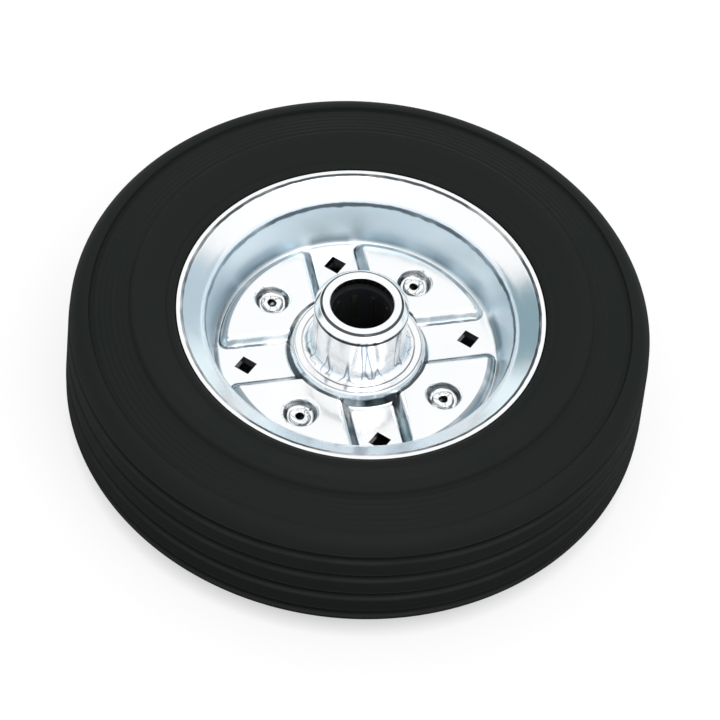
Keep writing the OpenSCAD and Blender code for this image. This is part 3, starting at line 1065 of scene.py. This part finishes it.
@dataclass
class Tyre:
    """Solid rubber tyre: tread ribs, round shoulders, ribbed sidewalls and beads."""

    outer_r: float
    half_width: float
    tread_half: float = 15.5 * MM
    shoulder_r: float = 6.8 * MM
    shoulder_start: float = math.radians(24)
    lip_turn: float = math.radians(8)
    grooves_a_side: int = 2
    groove_pitch: float = 10.0 * MM
    groove_w: float = 3.5 * MM
    groove_depth: float = 2.1 * MM
    groove_bevel: float = 1.15 * MM
    groove_round: float = 0.55 * MM
    shoulder_band: float = 6.5 * MM
    sidewall_step: float = 0.7 * MM
    crest_r: float = 78.8 * MM
    crest_step: float = 1.6 * MM
    rib_count: int = 6
    rib_h: float = 0.15 * MM
    rib_w: float = 1.0 * MM
    rib_points: tuple[float, ...] = (-0.5, -0.32, -0.18, 0.0, 0.18, 0.32, 0.5)
    bead_drop: float = 2.0 * MM
    crevice: float = 0.5 * MM
    gap: float = 0.1 * MM
    base_r: float = 52.0 * MM
    sharp_from: float = 50.0
    segments: int = 216

    def on_shoulder(self, angle: float) -> np.ndarray:
        """Finds a point of the round shoulder.

        Args:
            angle: How far it has turned from the tread.

        Returns:
            Its radius and height.
        """
        centre = np.array([self.outer_r - self.shoulder_r, self.tread_half])
        return centre + self.shoulder_r * np.array([math.cos(angle), math.sin(angle)])

    def tread(self) -> list[np.ndarray]:
        """Returns the tread from the mid-plane to the shoulder, grooves rounded.

        The outermost groove's far lip lies on the shoulder.
        """
        floor_r = self.outer_r - self.groove_depth
        bevel = self.groove_bevel
        corners: list[Point] = [(self.outer_r, 0.0)]
        for k in range(self.grooves_a_side):
            z = (k + 0.5) * self.groove_pitch
            corners += [(self.outer_r, z - self.groove_w / 2), (floor_r, z - self.groove_w / 2 + bevel),
                        (floor_r, z + self.groove_w / 2 - bevel), (self.outer_r, z + self.groove_w / 2)]
        lip_angle = math.asin((corners[-1][1] - self.tread_half) / self.shoulder_r)
        corners[-1] = tuple(self.on_shoulder(lip_angle))
        corners.append(tuple(self.on_shoulder(lip_angle + self.lip_turn)))
        return bent(corners, [self.groove_round] * (len(corners) - 2), steps=4)

    def shoulder(self) -> list[np.ndarray]:
        """Returns the rest of the round shoulder, which ends above the sidewall's step."""
        end = math.acos(1 - self.shoulder_band / self.shoulder_r)
        return [self.on_shoulder(a) for a in np.linspace(self.shoulder_start, end, 12)]

    def sidewall(self) -> list[np.ndarray]:
        """Returns the sidewall from the shoulder's step to the crest, with its ribs."""
        out = np.array([self.outer_r - self.shoulder_band - 0.5 * MM,
                        self.tread_half + self.shoulder_r - self.sidewall_step])
        inner = np.array([self.crest_r + 1.0 * MM, self.half_width - self.crest_step])
        along = unit(inner - out)
        outward = -left_of(along)
        pitch = np.linalg.norm(inner - out) / (self.rib_count + 1)
        points = [out]
        for k in range(1, self.rib_count + 1):
            foot = out + along * pitch * k
            for share in self.rib_points:
                rise = math.cos(math.pi * share) ** 0.8 if abs(share) < 0.5 else 0.0
                points.append(foot + along * self.rib_w * share + outward * self.rib_h * rise)
        return points + [inner]

    def bead(self, rim_r: float) -> list[np.ndarray]:
        """Returns the crest, the side face and the bead ring beside the rim.

        Args:
            rim_r: Radius over the rim's lip.
        """
        bead_r = rim_r + self.crevice
        bead_z = self.half_width - self.bead_drop
        corners = [
            (self.crest_r + 0.5 * MM, self.half_width - 0.5 * MM),
            (self.crest_r - 0.2 * MM, self.half_width),
            (self.crest_r - 4.0 * MM, self.half_width - 0.1 * MM),
            (bead_r + 3.4 * MM, bead_z - 0.35 * MM),
            (bead_r + 2.7 * MM, bead_z),
            (bead_r + 1.3 * MM, bead_z),
            (bead_r, bead_z - 0.9 * MM),
        ]
        radii = [0.5 * MM, 8.0 * MM, 0.6 * MM, 0.5 * MM, 0.8 * MM]
        return bent(corners, radii, steps=4)

    def base(self, dish: "RimDish") -> list[np.ndarray]:
        """Returns the base that fills the groove between the two dishes.

        Args:
            dish: The dish that the base sits on.
        """
        seat = bent(dish.bowl_corners(), [dish.lip_bend, dish.wall_bend], dish.sheet + self.gap, steps=4)
        wall, foot = seat[-2], seat[-1]
        share = (wall[0] - self.base_r) / (wall[0] - foot[0])
        return [np.array([dish.rim_r + self.crevice, seat[0][1]]), *seat[1:-1],
                wall + share * (foot - wall), np.array([self.base_r, 0.0])]

    def build(self, dish: "RimDish", finish: Material) -> Object:
        """Makes the tyre.

        Args:
            dish: The dish that the tyre sits on.
            finish: The rubber.

        Returns:
            The piece.
        """
        half = self.tread() + self.shoulder() + self.sidewall() + self.bead(dish.rim_r) + self.base(dish)
        lower = [p * np.array([1.0, -1.0]) for p in reversed(half[1:-1])]
        obj = revolved("tyre_rubber", half + lower, self.segments)
        keep_edges(obj, self.sharp_from)
        dress(obj, finish)
        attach(obj, Body.WHEEL.value)
        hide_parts("tyre")
        return obj


@dataclass
class RimDish:
    """One pressed dish of the split rim, from its lip to its drawn neck."""

    rim_r: float
    lip_z: float
    neck_top: float
    sheet: float = 1.5 * MM
    lip_w: float = 1.8 * MM
    slope_w: float = 8.2 * MM
    slope_h: float = 4.8 * MM
    wall_lean: float = math.radians(14.2)
    lip_bend: float = 1.2 * MM
    wall_bend: float = 5.0 * MM
    floor_bend: float = 2.4 * MM
    land_h: float = 3.15 * MM
    gutter_w: float = 1.2 * MM
    channel_half: float = 7.6 * MM
    channel_run: float = 3.26 * MM
    land_run: float = 1.47 * MM
    channel_blend: float = 1.0 * MM
    land_blend: float = 0.55 * MM
    land_corner: float = 4.0 * MM
    square_r: float = 39.2 * MM
    square_w: float = 5.4 * MM
    square_corner: float = 0.8 * MM
    rivet_r: float = 35.5 * MM
    rivet_hole_r: float = 2.95 * MM
    dimple_r: float = 6.0 * MM
    dimple_run: float = 1.15 * MM
    dimple_blend: float = 0.5 * MM
    neck_r: float = 16.2 * MM
    neck_flare: float = 5.0 * MM
    boss_h: float = 1.9 * MM
    boss_r: float = 22.5 * MM
    boss_slope: float = math.radians(68)
    boss_bend: float = 1.0 * MM
    draw_depth: float = 0.22 * MM
    draw_waves: tuple[tuple[float, int, float], ...] = ((0.45, 9, 0.6), (0.35, 14, 2.1), (0.2, 23, 4.0))
    relief_r: float = 50 * MM
    face_steps: tuple[float, float] = (0.6 * MM, 1.6 * MM)
    back_steps: tuple[float, float] = (1.0 * MM, 4.0 * MM)
    punch_under: float = 1.0 * MM
    punch_over: float = 0.6 * MM
    square_steps: int = 6
    hole_steps: int = 48
    sharp_from: float = 42.0
    segments: int = 480
    face_rows: int = field(default=0, init=False)

    @property
    def land_z(self) -> float:
        """Height of the lands' face."""
        return self.sheet + self.land_h

    @property
    def boss_z(self) -> float:
        """Height of the boss ring's face."""
        return self.land_z + self.boss_h

    @property
    def wall_foot_r(self) -> float:
        """Radius where the dish wall would meet the disc with no bend."""
        drop = self.lip_z - self.slope_h - self.sheet
        return self.rim_r - self.lip_w - self.slope_w - drop * math.tan(self.wall_lean)

    def bowl_corners(self) -> list[Point]:
        """Returns the corners of the lip, the sloped band and the dish wall."""
        return [
            (self.rim_r, self.lip_z),
            (self.rim_r - self.lip_w, self.lip_z),
            (self.rim_r - self.lip_w - self.slope_w, self.lip_z - self.slope_h),
            (self.wall_foot_r, self.sheet),
        ]

    def corners(self) -> list[Point]:
        """Returns the corners of the whole section, from the lip to the neck."""
        foot = self.boss_r + (self.boss_z - self.sheet) / math.tan(self.boss_slope)
        return self.bowl_corners() + [
            (foot, self.sheet),
            (self.boss_r, self.boss_z),
            (self.neck_r, self.boss_z),
            (self.neck_r, self.neck_top),
        ]

    def bends(self) -> list[float]:
        """Returns the bend radius at each inner corner of the section."""
        return [self.lip_bend, self.wall_bend, self.floor_bend, self.boss_bend, self.boss_bend, self.neck_flare]

    def rivet_places(self) -> list[Point]:
        """Returns X and Y of the four rivets' centres."""
        angles = [math.radians(45 + 90 * k) for k in range(4)]
        return [(self.rivet_r * math.cos(a), self.rivet_r * math.sin(a)) for a in angles]

    def land_share(self, x: np.ndarray, y: np.ndarray) -> np.ndarray:
        """Height of the pressed lands as a share of their full height.

        Args:
            x: X of each point.
            y: Y of each point.

        Returns:
            0 in the channels and the gutter, 1 on the lands.
        """
        r = np.hypot(x, y)
        beside = np.minimum(abs(x), abs(y)) - self.channel_half
        inside = self.wall_foot_r - self.gutter_w - r
        near = self.land_corner
        u = np.maximum(near - beside, 0)
        v = np.maximum(near - inside, 0)
        corner = near - np.hypot(u, v)
        depth = np.where((u > 0) & (v > 0), corner, np.minimum(beside, inside))
        side_share = smooth_ramp(depth, self.channel_run, self.channel_blend)
        edge_share = smooth_ramp(depth, self.land_run, self.land_blend)
        weight = np.clip((beside - inside) / (2 * near) + 0.5, 0, 1)
        weight = weight * weight * (3 - 2 * weight)
        share = side_share * (1 - weight) + edge_share * weight
        for cx, cy in self.rivet_places():
            gap = np.hypot(x - cx, y - cy)
            ramp = smooth_ramp(gap - (self.dimple_r - self.dimple_run), self.dimple_run, self.dimple_blend)
            share = np.minimum(share, ramp)
        return share

    def press(self, verts: np.ndarray, angles: np.ndarray) -> np.ndarray:
        """Lifts the lands out of a turned dish and leaves draw waves on its neck.

        Args:
            verts: Vertex places.
            angles: Angle of each vertex around the axle.

        Returns:
            The changed places.
        """
        x, y, z = verts[:, 0], verts[:, 1], verts[:, 2]
        r = np.hypot(x, y)
        land = self.land_share(x, y)
        top = self.sheet + self.land_h * land
        low = self.land_h * land
        rows = len(verts) // self.segments
        face = np.repeat(np.arange(rows) < self.face_rows, self.segments)
        open_disc = (r < self.wall_foot_r + 2 * MM) & (r > self.neck_r + 1 * MM)
        lifted = np.where(face, top, low)
        verts = verts.copy()
        verts[:, 2] = np.where(open_disc, np.maximum(z, lifted), z)
        wave = sum(size * np.cos(count * angles + start) for size, count, start in self.draw_waves)
        drawn = face & (r < self.neck_r + self.neck_flare * 0.8) & (z > self.boss_z + 0.3 * MM)
        fade = np.clip((z - self.boss_z) / (4 * MM), 0, 1) * np.clip((self.neck_top - z) / (5 * MM), 0, 1)
        shrink = 1 - np.where(drawn, self.draw_depth * (1 + wave) * 0.5 * fade, 0.0) / np.maximum(r, 1 * MM)
        verts[:, 0] *= shrink
        verts[:, 1] *= shrink
        return verts

    def cutters(self) -> Object:
        """Returns one object of all the punched holes: four square and four round."""
        verts: list[tuple[float, float, float]] = []
        faces: list[list[int]] = []
        low, high = -self.punch_under, self.sheet + self.punch_over

        def prism(outline: list[Point]) -> None:
            start, n = len(verts), len(outline)
            verts.extend([(x, y, low) for x, y in outline] + [(x, y, high) for x, y in outline])
            faces.append([start + k for k in reversed(range(n))])
            faces.append([start + n + k for k in range(n)])
            faces.extend([start + k, start + (k + 1) % n, start + n + (k + 1) % n, start + n + k] for k in range(n))

        reach = self.square_w / 2 - self.square_corner
        for k in range(4):
            a = math.radians(90 * k)
            outline = []
            for q in range(4):
                for s in range(self.square_steps + 1):
                    t = math.radians(45 + 90 * q + 90 // self.square_steps * s)
                    c = math.radians(90 + 90 * q)
                    px = self.square_r + math.sqrt(2) * reach * math.cos(c) + self.square_corner * math.cos(t)
                    py = math.sqrt(2) * reach * math.sin(c) + self.square_corner * math.sin(t)
                    outline.append((px * math.cos(a) - py * math.sin(a), px * math.sin(a) + py * math.cos(a)))
            prism(outline)
            cx, cy = self.rivet_places()[k]
            prism([(cx + self.rivet_hole_r * math.cos(t), cy + self.rivet_hole_r * math.sin(t))
                   for t in np.linspace(0, 2 * math.pi, self.hole_steps, endpoint=False)])
        return mesh_object("punch", np.array(verts), faces)

    def build(self, side: Side, node: str, finish: Material) -> Object:
        """Makes one dish.

        Args:
            side: The side of the wheel that it faces.
            node: The part's node that it stands for.
            finish: The plating.

        Returns:
            The piece.
        """
        face = finer(bent(self.corners(), self.bends()), *self.face_steps, self.relief_r)
        back = finer(bent(self.corners(), self.bends(), self.sheet, 3), *self.back_steps, self.relief_r)
        self.face_rows = len(face)
        obj = revolved(f"{node}_dish", face + back[::-1], self.segments, self.press)
        cut_with(obj, self.cutters())
        keep_edges(obj, self.sharp_from)
        if side is Side.REAR:
            mirror_in_z(obj)
        dress(obj, finish)
        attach(obj, Body.WHEEL.value)
        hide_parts(node)
        return obj


@dataclass
class EndRing:
    """Pressed ring over one end of the hub, with a rolled shoulder and a spigot."""

    outer_r: float
    top_z: float
    under_z: float
    hole_r: float = 10.95 * MM
    face_w: float = 2.70 * MM
    step_w: float = 0.55 * MM
    step_h: float = 0.55 * MM
    shoulder_w: float = 1.50 * MM
    shoulder_h: float = 1.45 * MM
    spigot_r: float = 13.45 * MM
    spigot_wall: float = 1.1 * MM
    spigot_h: float = 1.6 * MM
    sharp_from: float = 40.0
    segments: int = 192

    def section(self) -> list[np.ndarray]:
        """Returns the ring's section, counter-clockwise."""
        face_out = self.hole_r + self.face_w
        step_z = self.top_z - self.step_h
        corners: list[Point] = [
            (self.hole_r, self.under_z),
            (self.hole_r, self.top_z),
            (face_out, self.top_z),
            (face_out + self.step_w, step_z),
            (self.outer_r - self.shoulder_w, step_z),
            (self.outer_r, step_z - self.shoulder_h),
            (self.outer_r, self.under_z),
            (self.spigot_r, self.under_z),
            (self.spigot_r, self.under_z - self.spigot_h),
            (self.spigot_r - self.spigot_wall, self.under_z - self.spigot_h),
            (self.spigot_r - self.spigot_wall, self.under_z),
            (self.hole_r, self.under_z),
        ]
        radii = [0.45 * MM, 0.12 * MM, 0.05 * MM, 0.15 * MM, 0.35 * MM,
                 0.15 * MM, 0.0, 0.1 * MM, 0.1 * MM, 0.0]
        points = bent(corners, radii, steps=5)
        return points[:-1][::-1]

    def build(self, side: Side, node: str, finish: Material) -> Object:
        """Makes one ring.

        Args:
            side: The end of the hub that it closes.
            node: The part's node that it stands for.
            finish: The plating.

        Returns:
            The piece.
        """
        obj = revolved(f"{node}_pressed", self.section(), self.segments)
        keep_edges(obj, self.sharp_from)
        if side is Side.REAR:
            mirror_in_z(obj)
        dress(obj, finish)
        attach(obj, Body.WHEEL.value)
        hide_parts(node)
        return obj


@dataclass
class Rivet:
    """Tubular rivet with its flange rolled over on each disc, a little unevenly."""

    shank_r: float = 2.9 * MM
    hole_r: float = 1.3 * MM
    head_r: float = 3.9 * MM
    head_t: float = 1.1 * MM
    sheet: float = 1.5 * MM
    lobes: int = 3
    lobe_depth: float = 0.16
    dip_h: float = 0.22 * MM
    turn_step: float = 1.9
    sharp_from: float = 40.0
    segments: int = 72

    def splay(self, turn: float) -> Callable[[np.ndarray, np.ndarray], np.ndarray]:
        """Makes the change of shape that the rolling tool leaves on one rivet.

        Args:
            turn: Angle by which this rivet's lobes are turned.

        Returns:
            The change, for revolved().
        """

        def shape(verts: np.ndarray, angles: np.ndarray) -> np.ndarray:
            verts = verts.copy()
            r = np.hypot(verts[:, 0], verts[:, 1])
            above = np.clip((abs(verts[:, 2]) - self.sheet) / (0.3 * MM), 0, 1)
            wave = np.cos(self.lobes * (angles + turn)) + 0.35 * np.cos(5 * angles - 2 * turn)
            spread = np.clip((r - self.hole_r) / (self.head_r - self.hole_r), 0, 1)
            pull = 1 - above * self.lobe_depth * (0.5 - 0.5 * wave) * (0.35 + 0.65 * spread)
            verts[:, 0] *= pull
            verts[:, 1] *= pull
            dip = above * self.dip_h * (0.5 - 0.5 * np.cos(self.lobes * (angles + turn) + 0.8)) * spread
            verts[:, 2] -= np.sign(verts[:, 2]) * np.minimum(dip, np.maximum(abs(verts[:, 2]) - self.sheet, 0))
            return verts

        return shape

    def build(self, index: int, place: Point, finish: Material) -> Object:
        """Makes one rivet.

        Args:
            index: Its number, from 1.
            place: X and Y of its centre.
            finish: The plating.

        Returns:
            The piece.
        """
        top = self.sheet + self.head_t
        corners: list[Point] = [
            (self.shank_r, 0.0),
            (self.shank_r, self.sheet),
            (self.head_r, self.sheet),
            (self.head_r, top),
            (self.hole_r, top),
            (self.hole_r, 0.0),
        ]
        half = bent(corners, [0.0, 0.15 * MM, 0.6 * MM, 0.95 * MM], steps=6)
        lower = [p * np.array([1.0, -1.0]) for p in reversed(half[1:-1])]
        obj = revolved(f"rivet_rolled_{index}", half + lower, self.segments, self.splay(self.turn_step * index))
        obj.data.transform(Matrix.Translation((place[0], place[1], 0.0)))
        keep_edges(obj, self.sharp_from)
        dress(obj, finish)
        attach(obj, Body.WHEEL.value)
        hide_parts(f"rivet_{index}")
        return obj


@dataclass
class Bearing:
    """Housing tube, cage and rollers, kept from the part and dressed."""

    roller_count: int = 10

    def build(self, steel: Material, tube: Material, plastic: Material) -> int:
        """Dresses the bearing's nodes.

        Args:
            steel: Finish of the rollers.
            tube: Finish of the housing.
            plastic: Finish of the cage.

        Returns:
            The number of nodes dressed.
        """
        finishes = {"bearing_housing": tube, "roller_cage": plastic}
        finishes.update({f"roller_{k + 1}": steel for k in range(self.roller_count)})
        for node, material in finishes.items():
            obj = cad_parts[node]
            dress(obj, material)
        return len(finishes)


# Studio


@dataclass
class PhotoCamera:
    """Camera at the photograph's angle, found from the wheel's own circles."""

    focal_px: float = 6475.7
    distance: float = 2.2352
    elevation: float = math.radians(51.358)
    roll: float = math.radians(5.974)
    azimuth: float = math.radians(16.083)
    offset_right: float = 0.001069
    offset_up: float = -0.001785
    frame_px: int = 720
    sensor_mm: float = 36.0
    clip_near: float = 0.05
    clip_far: float = 20.0

    def build(self) -> Object:
        """Makes the scene's camera and returns it."""
        forward = Vector((0.0, math.cos(self.elevation), -math.sin(self.elevation)))
        right = Vector((1.0, 0.0, 0.0))
        up = right.cross(forward)
        c, s = math.cos(self.roll), math.sin(self.roll)
        right, up = c * right + s * up, c * up - s * right
        place = -forward * self.distance + right * self.offset_right + up * self.offset_up
        turn = Matrix.Rotation(-self.azimuth, 4, "Z")
        axes = Matrix((right, up, -forward)).transposed().to_4x4()
        data = bpy.data.cameras.new("photo_camera")
        data.sensor_width = self.sensor_mm
        data.lens = self.focal_px * self.sensor_mm / self.frame_px
        data.clip_start, data.clip_end = self.clip_near, self.clip_far
        cam = bpy.data.objects.new("photo_camera", data)
        cam.matrix_world = turn @ Matrix.Translation(place) @ axes
        bpy.context.scene.collection.objects.link(cam)
        bpy.context.scene.camera = cam
        return cam


@dataclass(frozen=True)
class Card:
    """Soft-edged card beside the wheel: its middle, its half size and its tone, in degrees."""

    azimuth: float
    half_width: float
    low: float
    high: float
    tone: Colour
    side_soft: float = 10.0
    top_soft: float = 5.0

    def cover(self, azimuth: float, elevation: float) -> float:
        """Returns how much of the card is seen in a direction, from 0 to 1.

        Args:
            azimuth: Direction around the wheel.
            elevation: Direction above the floor.
        """
        off = abs((azimuth - self.azimuth + 180) % 360 - 180)
        beside = np.clip((self.half_width + self.side_soft - off) / self.side_soft, 0, 1)
        above = np.clip((self.high + self.top_soft - elevation) / self.top_soft, 0, 1)
        below = np.clip((elevation - self.low + self.top_soft) / self.top_soft, 0, 1)
        share = float(min(beside, above, below))
        return share * share * (3 - 2 * share)


@dataclass
class Studio:
    """White floor and background with soft, even light.

    Each ring gives two distances from the axle line, as shares of the wheel's radius:
    where a change of the floor starts and where it ends.
    """

    floor_z: float
    floor_half: float = 6.0
    sky: Colour = (1.0, 1.0, 1.0)
    sky_low: float = 0.50
    sky_high: float = 1.10
    key_place: tuple[float, float, float] = (0.35, -1.05, 1.75)
    key_power: float = 9.0
    key_size: float = 1.4
    floor_colour: float = 0.28
    floor_glow: float = 0.76
    floor_dark: float = 0.01
    under_glow: float = 0.7
    white_ring: tuple[float, float] = (0.7, 1.0)
    mirror_ring: tuple[float, float] = (1.3, 2.6)
    under_ring: tuple[float, float] = (0.20, 0.74)
    under_soft: float = 0.03
    shade_ring: tuple[float, float] = (0.75, 0.9)
    strip_across: tuple[float, float, float] = (-0.961, 0.276, 0.0)
    strip_edge: tuple[float, float] = (0.14, 0.18)
    wheel_r: float = 0.1
    surround_r: float = 1.6
    surround_top: float = 56.0
    surround_columns: int = 180
    surround_rows: int = 60
    cards: tuple[Card, ...] = (
        Card(azimuth=74, half_width=72, low=4, high=14, tone=(0.84, 0.96, 1.0), side_soft=20.0),
        Card(azimuth=131, half_width=18, low=15, high=37, tone=(0.23, 0.35, 0.40), side_soft=12.0, top_soft=4.0),
        Card(azimuth=24, half_width=14, low=18, high=33, tone=(0.46, 0.58, 0.66), side_soft=14.0, top_soft=8.0),
        Card(azimuth=74, half_width=100, low=-20, high=0.5, tone=(0.012, 0.020, 0.024), side_soft=25.0, top_soft=2.0),
        Card(azimuth=10, half_width=35, low=-20, high=0.5, tone=(0.035, 0.120, 0.125), side_soft=20.0, top_soft=2.0),
    )

    @staticmethod
    def seen(tree: Tree) -> Socket:
        """Masks the rays that show things: camera, glossy and transmission rays.

        Args:
            tree: The material's or the world's tree.

        Returns:
            The mask's socket, 1 for those rays.
        """
        path = tree.node("ShaderNodeLightPath")
        either = tree.math("MAXIMUM", path.outputs["Is Camera Ray"], path.outputs["Is Glossy Ray"])
        return tree.math("MAXIMUM", either, path.outputs["Is Transmission Ray"])

    def world(self) -> None:
        """Makes the world: white where it is seen, soft light from above elsewhere."""
        world = bpy.data.worlds.new("studio_white")
        world.use_nodes = True
        tree = Tree(world.node_tree)
        shade = world.node_tree.nodes["Background"]
        shade.inputs["Color"].default_value = (*self.sky, 1.0)
        split = tree.node("ShaderNodeSeparateXYZ")
        tree.join(tree.node("ShaderNodeTexCoord").outputs["Generated"], split.inputs[0])
        soft = tree.remap(split.outputs["Z"], 0.0, 1.0, self.sky_low, self.sky_high)
        seen = self.seen(tree)
        unseen = tree.times(tree.minus(1.0, seen), soft)
        tree.join(tree.math("ADD", seen, unseen), shade.inputs["Strength"])
        bpy.context.scene.world = world

    def ramp(self, tree: Tree, distance: Socket, ring: tuple[float, float],
             inner: float, outer: float) -> Socket:
        """Changes a value across a ring of the floor.

        Args:
            tree: The floor's tree.
            distance: The distance's socket.
            ring: Where the change starts and ends, as shares of the wheel's radius.
            inner: Value within the ring.
            outer: Value outside it.

        Returns:
            The value's socket.
        """
        return tree.remap(distance, ring[0] * self.wheel_r, ring[1] * self.wheel_r, inner, outer)

    def floor(self) -> None:
        """Makes the floor: white where it is seen, with the wheel's soft shadow."""
        half = self.floor_half
        verts = np.array([(-half, -half, 0), (half, -half, 0), (half, half, 0), (-half, half, 0)], float)
        verts[:, 2] = self.floor_z
        obj = mesh_object("floor", verts, [(0, 1, 2, 3)])
        mat, tree, shader = new_material("floor_white")
        shader.inputs["Roughness"].default_value = 1.0
        shader.inputs["Specular IOR Level"].default_value = 0.0
        shader.inputs["Emission Color"].default_value = (1.0, 1.0, 1.0, 1.0)
        coord = tree.node("ShaderNodeTexCoord")
        distance = tree.off_axle(coord.outputs["Object"])
        path = tree.node("ShaderNodeLightPath")
        clear = self.ramp(tree, distance, self.white_ring, 0.0, self.floor_glow)
        wide = self.ramp(tree, distance, self.mirror_ring, 0.0, self.floor_glow)
        mirrored = tree.math("MAXIMUM", path.outputs["Is Glossy Ray"], path.outputs["Is Transmission Ray"])
        glow = tree.math("ADD", tree.times(path.outputs["Is Camera Ray"], clear), tree.times(mirrored, wide))
        # under the wheel, where only its underside sees it, the floor lights that side
        below = tree.band(distance, self.under_ring[0] * self.wheel_r, self.under_ring[1] * self.wheel_r,
                          self.under_soft * self.wheel_r)
        bounced = tree.math("MAXIMUM", path.outputs["Is Glossy Ray"], path.outputs["Is Diffuse Ray"])
        # and leaves a dark strip, so that no light comes up through the square holes
        side = tree.node("ShaderNodeVectorMath", operation="DOT_PRODUCT")
        side.inputs[1].default_value = self.strip_across
        tree.join(coord.outputs["Object"], side.inputs[0])
        strip = self.ramp(tree, tree.math("ABSOLUTE", side.outputs["Value"]), self.strip_edge, 0.0, 1.0)
        under = tree.times(tree.times(below, bounced), strip)
        glow = tree.math("ADD", glow, tree.times(under, self.under_glow))
        # under the wheel the floor's colour falls nearly to black: painted shade, so that the holes look dark
        shade = self.ramp(tree, distance, self.shade_ring, self.floor_dark, self.floor_colour)
        tree.join(shade, shader.inputs["Base Color"])
        tree.join(glow, shader.inputs["Emission Strength"])
        # clear from below, so that the wheel's underside can be looked at
        either = tree.node("ShaderNodeMixShader")
        tree.join(tree.node("ShaderNodeNewGeometry").outputs["Backfacing"], either.inputs[0])
        tree.join(shader.outputs[0], either.inputs[1])
        tree.join(tree.node("ShaderNodeBsdfTransparent").outputs[0], either.inputs[2])
        tree.join(either.outputs[0], mat.node_tree.nodes["Material Output"].inputs["Surface"])
        dress(obj, mat)

    def surround_material(self) -> Material:
        """Returns the surround's cloth, which glows with the tone stored on it."""
        mat = bpy.data.materials.new("surround_cloth")
        mat.use_nodes = True
        tree = Tree(mat.node_tree)
        mat.node_tree.nodes.clear()
        tone = tree.node("ShaderNodeAttribute", attribute_name="tone")
        glow = tree.node("ShaderNodeEmission")
        tree.join(tone.outputs["Color"], glow.inputs["Color"])
        end = tree.node("ShaderNodeOutputMaterial")
        tree.join(glow.outputs["Emission"], end.inputs["Surface"])
        return mat

    def surround(self) -> None:
        """Hangs soft cards around the wheel that only the metal's reflections show."""
        columns, rows = self.surround_columns, self.surround_rows
        low = math.degrees(math.atan2(self.floor_z, self.surround_r))
        verts, tones = [], []
        for k in range(rows + 1):
            elevation = low + (self.surround_top - low) * k / rows
            for i in range(columns):
                azimuth = 360 * i / columns
                a = math.radians(azimuth)
                verts.append((self.surround_r * math.cos(a), self.surround_r * math.sin(a),
                              self.surround_r * math.tan(math.radians(elevation))))
                tone = np.ones(3)
                for card in self.cards:
                    tone += card.cover(azimuth, elevation) * (np.array(card.tone) - tone)
                tones.append((*tone, 1.0))
        faces = [(k * columns + i, k * columns + (i + 1) % columns, (k + 1) * columns + (i + 1) % columns,
                  (k + 1) * columns + i) for k in range(rows) for i in range(columns)]
        obj = mesh_object("surround", np.array(verts), faces)
        layer = obj.data.attributes.new("tone", "FLOAT_COLOR", "POINT")
        layer.data.foreach_set("color", np.array(tones, np.float32).ravel())
        obj.visible_camera = False
        obj.visible_diffuse = False
        obj.visible_transmission = False
        obj.visible_shadow = False
        dress(obj, self.surround_material())

    def lamps(self) -> None:
        """Hangs one broad soft lamp above the wheel's near side."""
        data = bpy.data.lights.new("key", "AREA")
        data.shape = "DISK"
        data.size = self.key_size
        data.energy = self.key_power
        obj = bpy.data.objects.new("key", data)
        obj.location = self.key_place
        obj.rotation_euler = (Vector((0.0, 0.0, 0.0)) - obj.location).to_track_quat("-Z", "Y").to_euler()
        bpy.context.scene.collection.objects.link(obj)

    def build(self) -> None:
        """Makes the world, the floor, the cards and the lamp, and sets the view."""
        self.world()
        self.floor()
        self.surround()
        self.lamps()
        bpy.context.scene.view_settings.view_transform = "Standard"


def main() -> None:
    """Builds the wheel's looks around the part, piece by piece."""
    logging.basicConfig(level=logging.INFO, format="%(message)s")
    for make in (make_cloud_group, make_rings_group, make_pits_group, make_pressing_group, make_streaks_group):
        make()
    tube_steel = GroundSteelFinish("drawn_tube", roughness=0.34).build()
    ground_steel = GroundSteelFinish().build()
    polyamide = CagePlasticFinish().build()

    rim_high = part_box("rim_front")[1]
    tyre_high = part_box("tyre")[1]
    ring_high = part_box("end_ring_front")[1]
    tube_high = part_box("bearing_housing")[1]
    dish = RimDish(rim_r=rim_high.x, lip_z=RIM_LIP_Z, neck_top=rim_high.z)
    zinc = DishFinish("bright_zinc", roughness=0.14, roughness_spread=0.08, land_edge=dish.wall_foot_r - dish.gutter_w,
                      wall_foot_r=dish.wall_foot_r, neck_top=dish.neck_top, square_place=dish.square_r,
                      square_reach=dish.square_w / math.sqrt(2)).build()
    # the end ring's dark ring at its step and its dark foot are painted shade
    ring_zinc = PlatedFinish("ring_zinc", roughness=0.10, ripple_depth=0.00001, dark_rings=((14.0 * MM, 0.38 * MM),),
                             dark_foot=tube_high.z + 0.55 * MM).build()
    rivet_zinc = RivetFinish("rivet_zinc", roughness=0.2, ripple_depth=0.00001).build()

    tyre = Tyre(outer_r=tyre_high.x, half_width=tyre_high.z)
    rubber = RubberFinish(tread_r=tyre.outer_r, groove_pitch=tyre.groove_pitch, groove_w=tyre.groove_w).build()
    report(tyre.build(dish, rubber))
    ring = EndRing(outer_r=ring_high.x, top_z=ring_high.z, under_z=tube_high.z)
    for side, tail in ((Side.FRONT, "front"), (Side.REAR, "rear")):
        report(dish.build(side, f"rim_{tail}", zinc))
        report(ring.build(side, f"end_ring_{tail}", ring_zinc))
    rivet = Rivet(sheet=dish.sheet)
    for index, place in enumerate(dish.rivet_places(), 1):
        report(rivet.build(index, place, rivet_zinc))
    LOG.info("bearing: %d nodes dressed", Bearing().build(ground_steel, tube_steel, polyamide))

    Studio(floor_z=-ring_high.z).build()
    PhotoCamera().build()


if __name__ == "__main__":
    main()
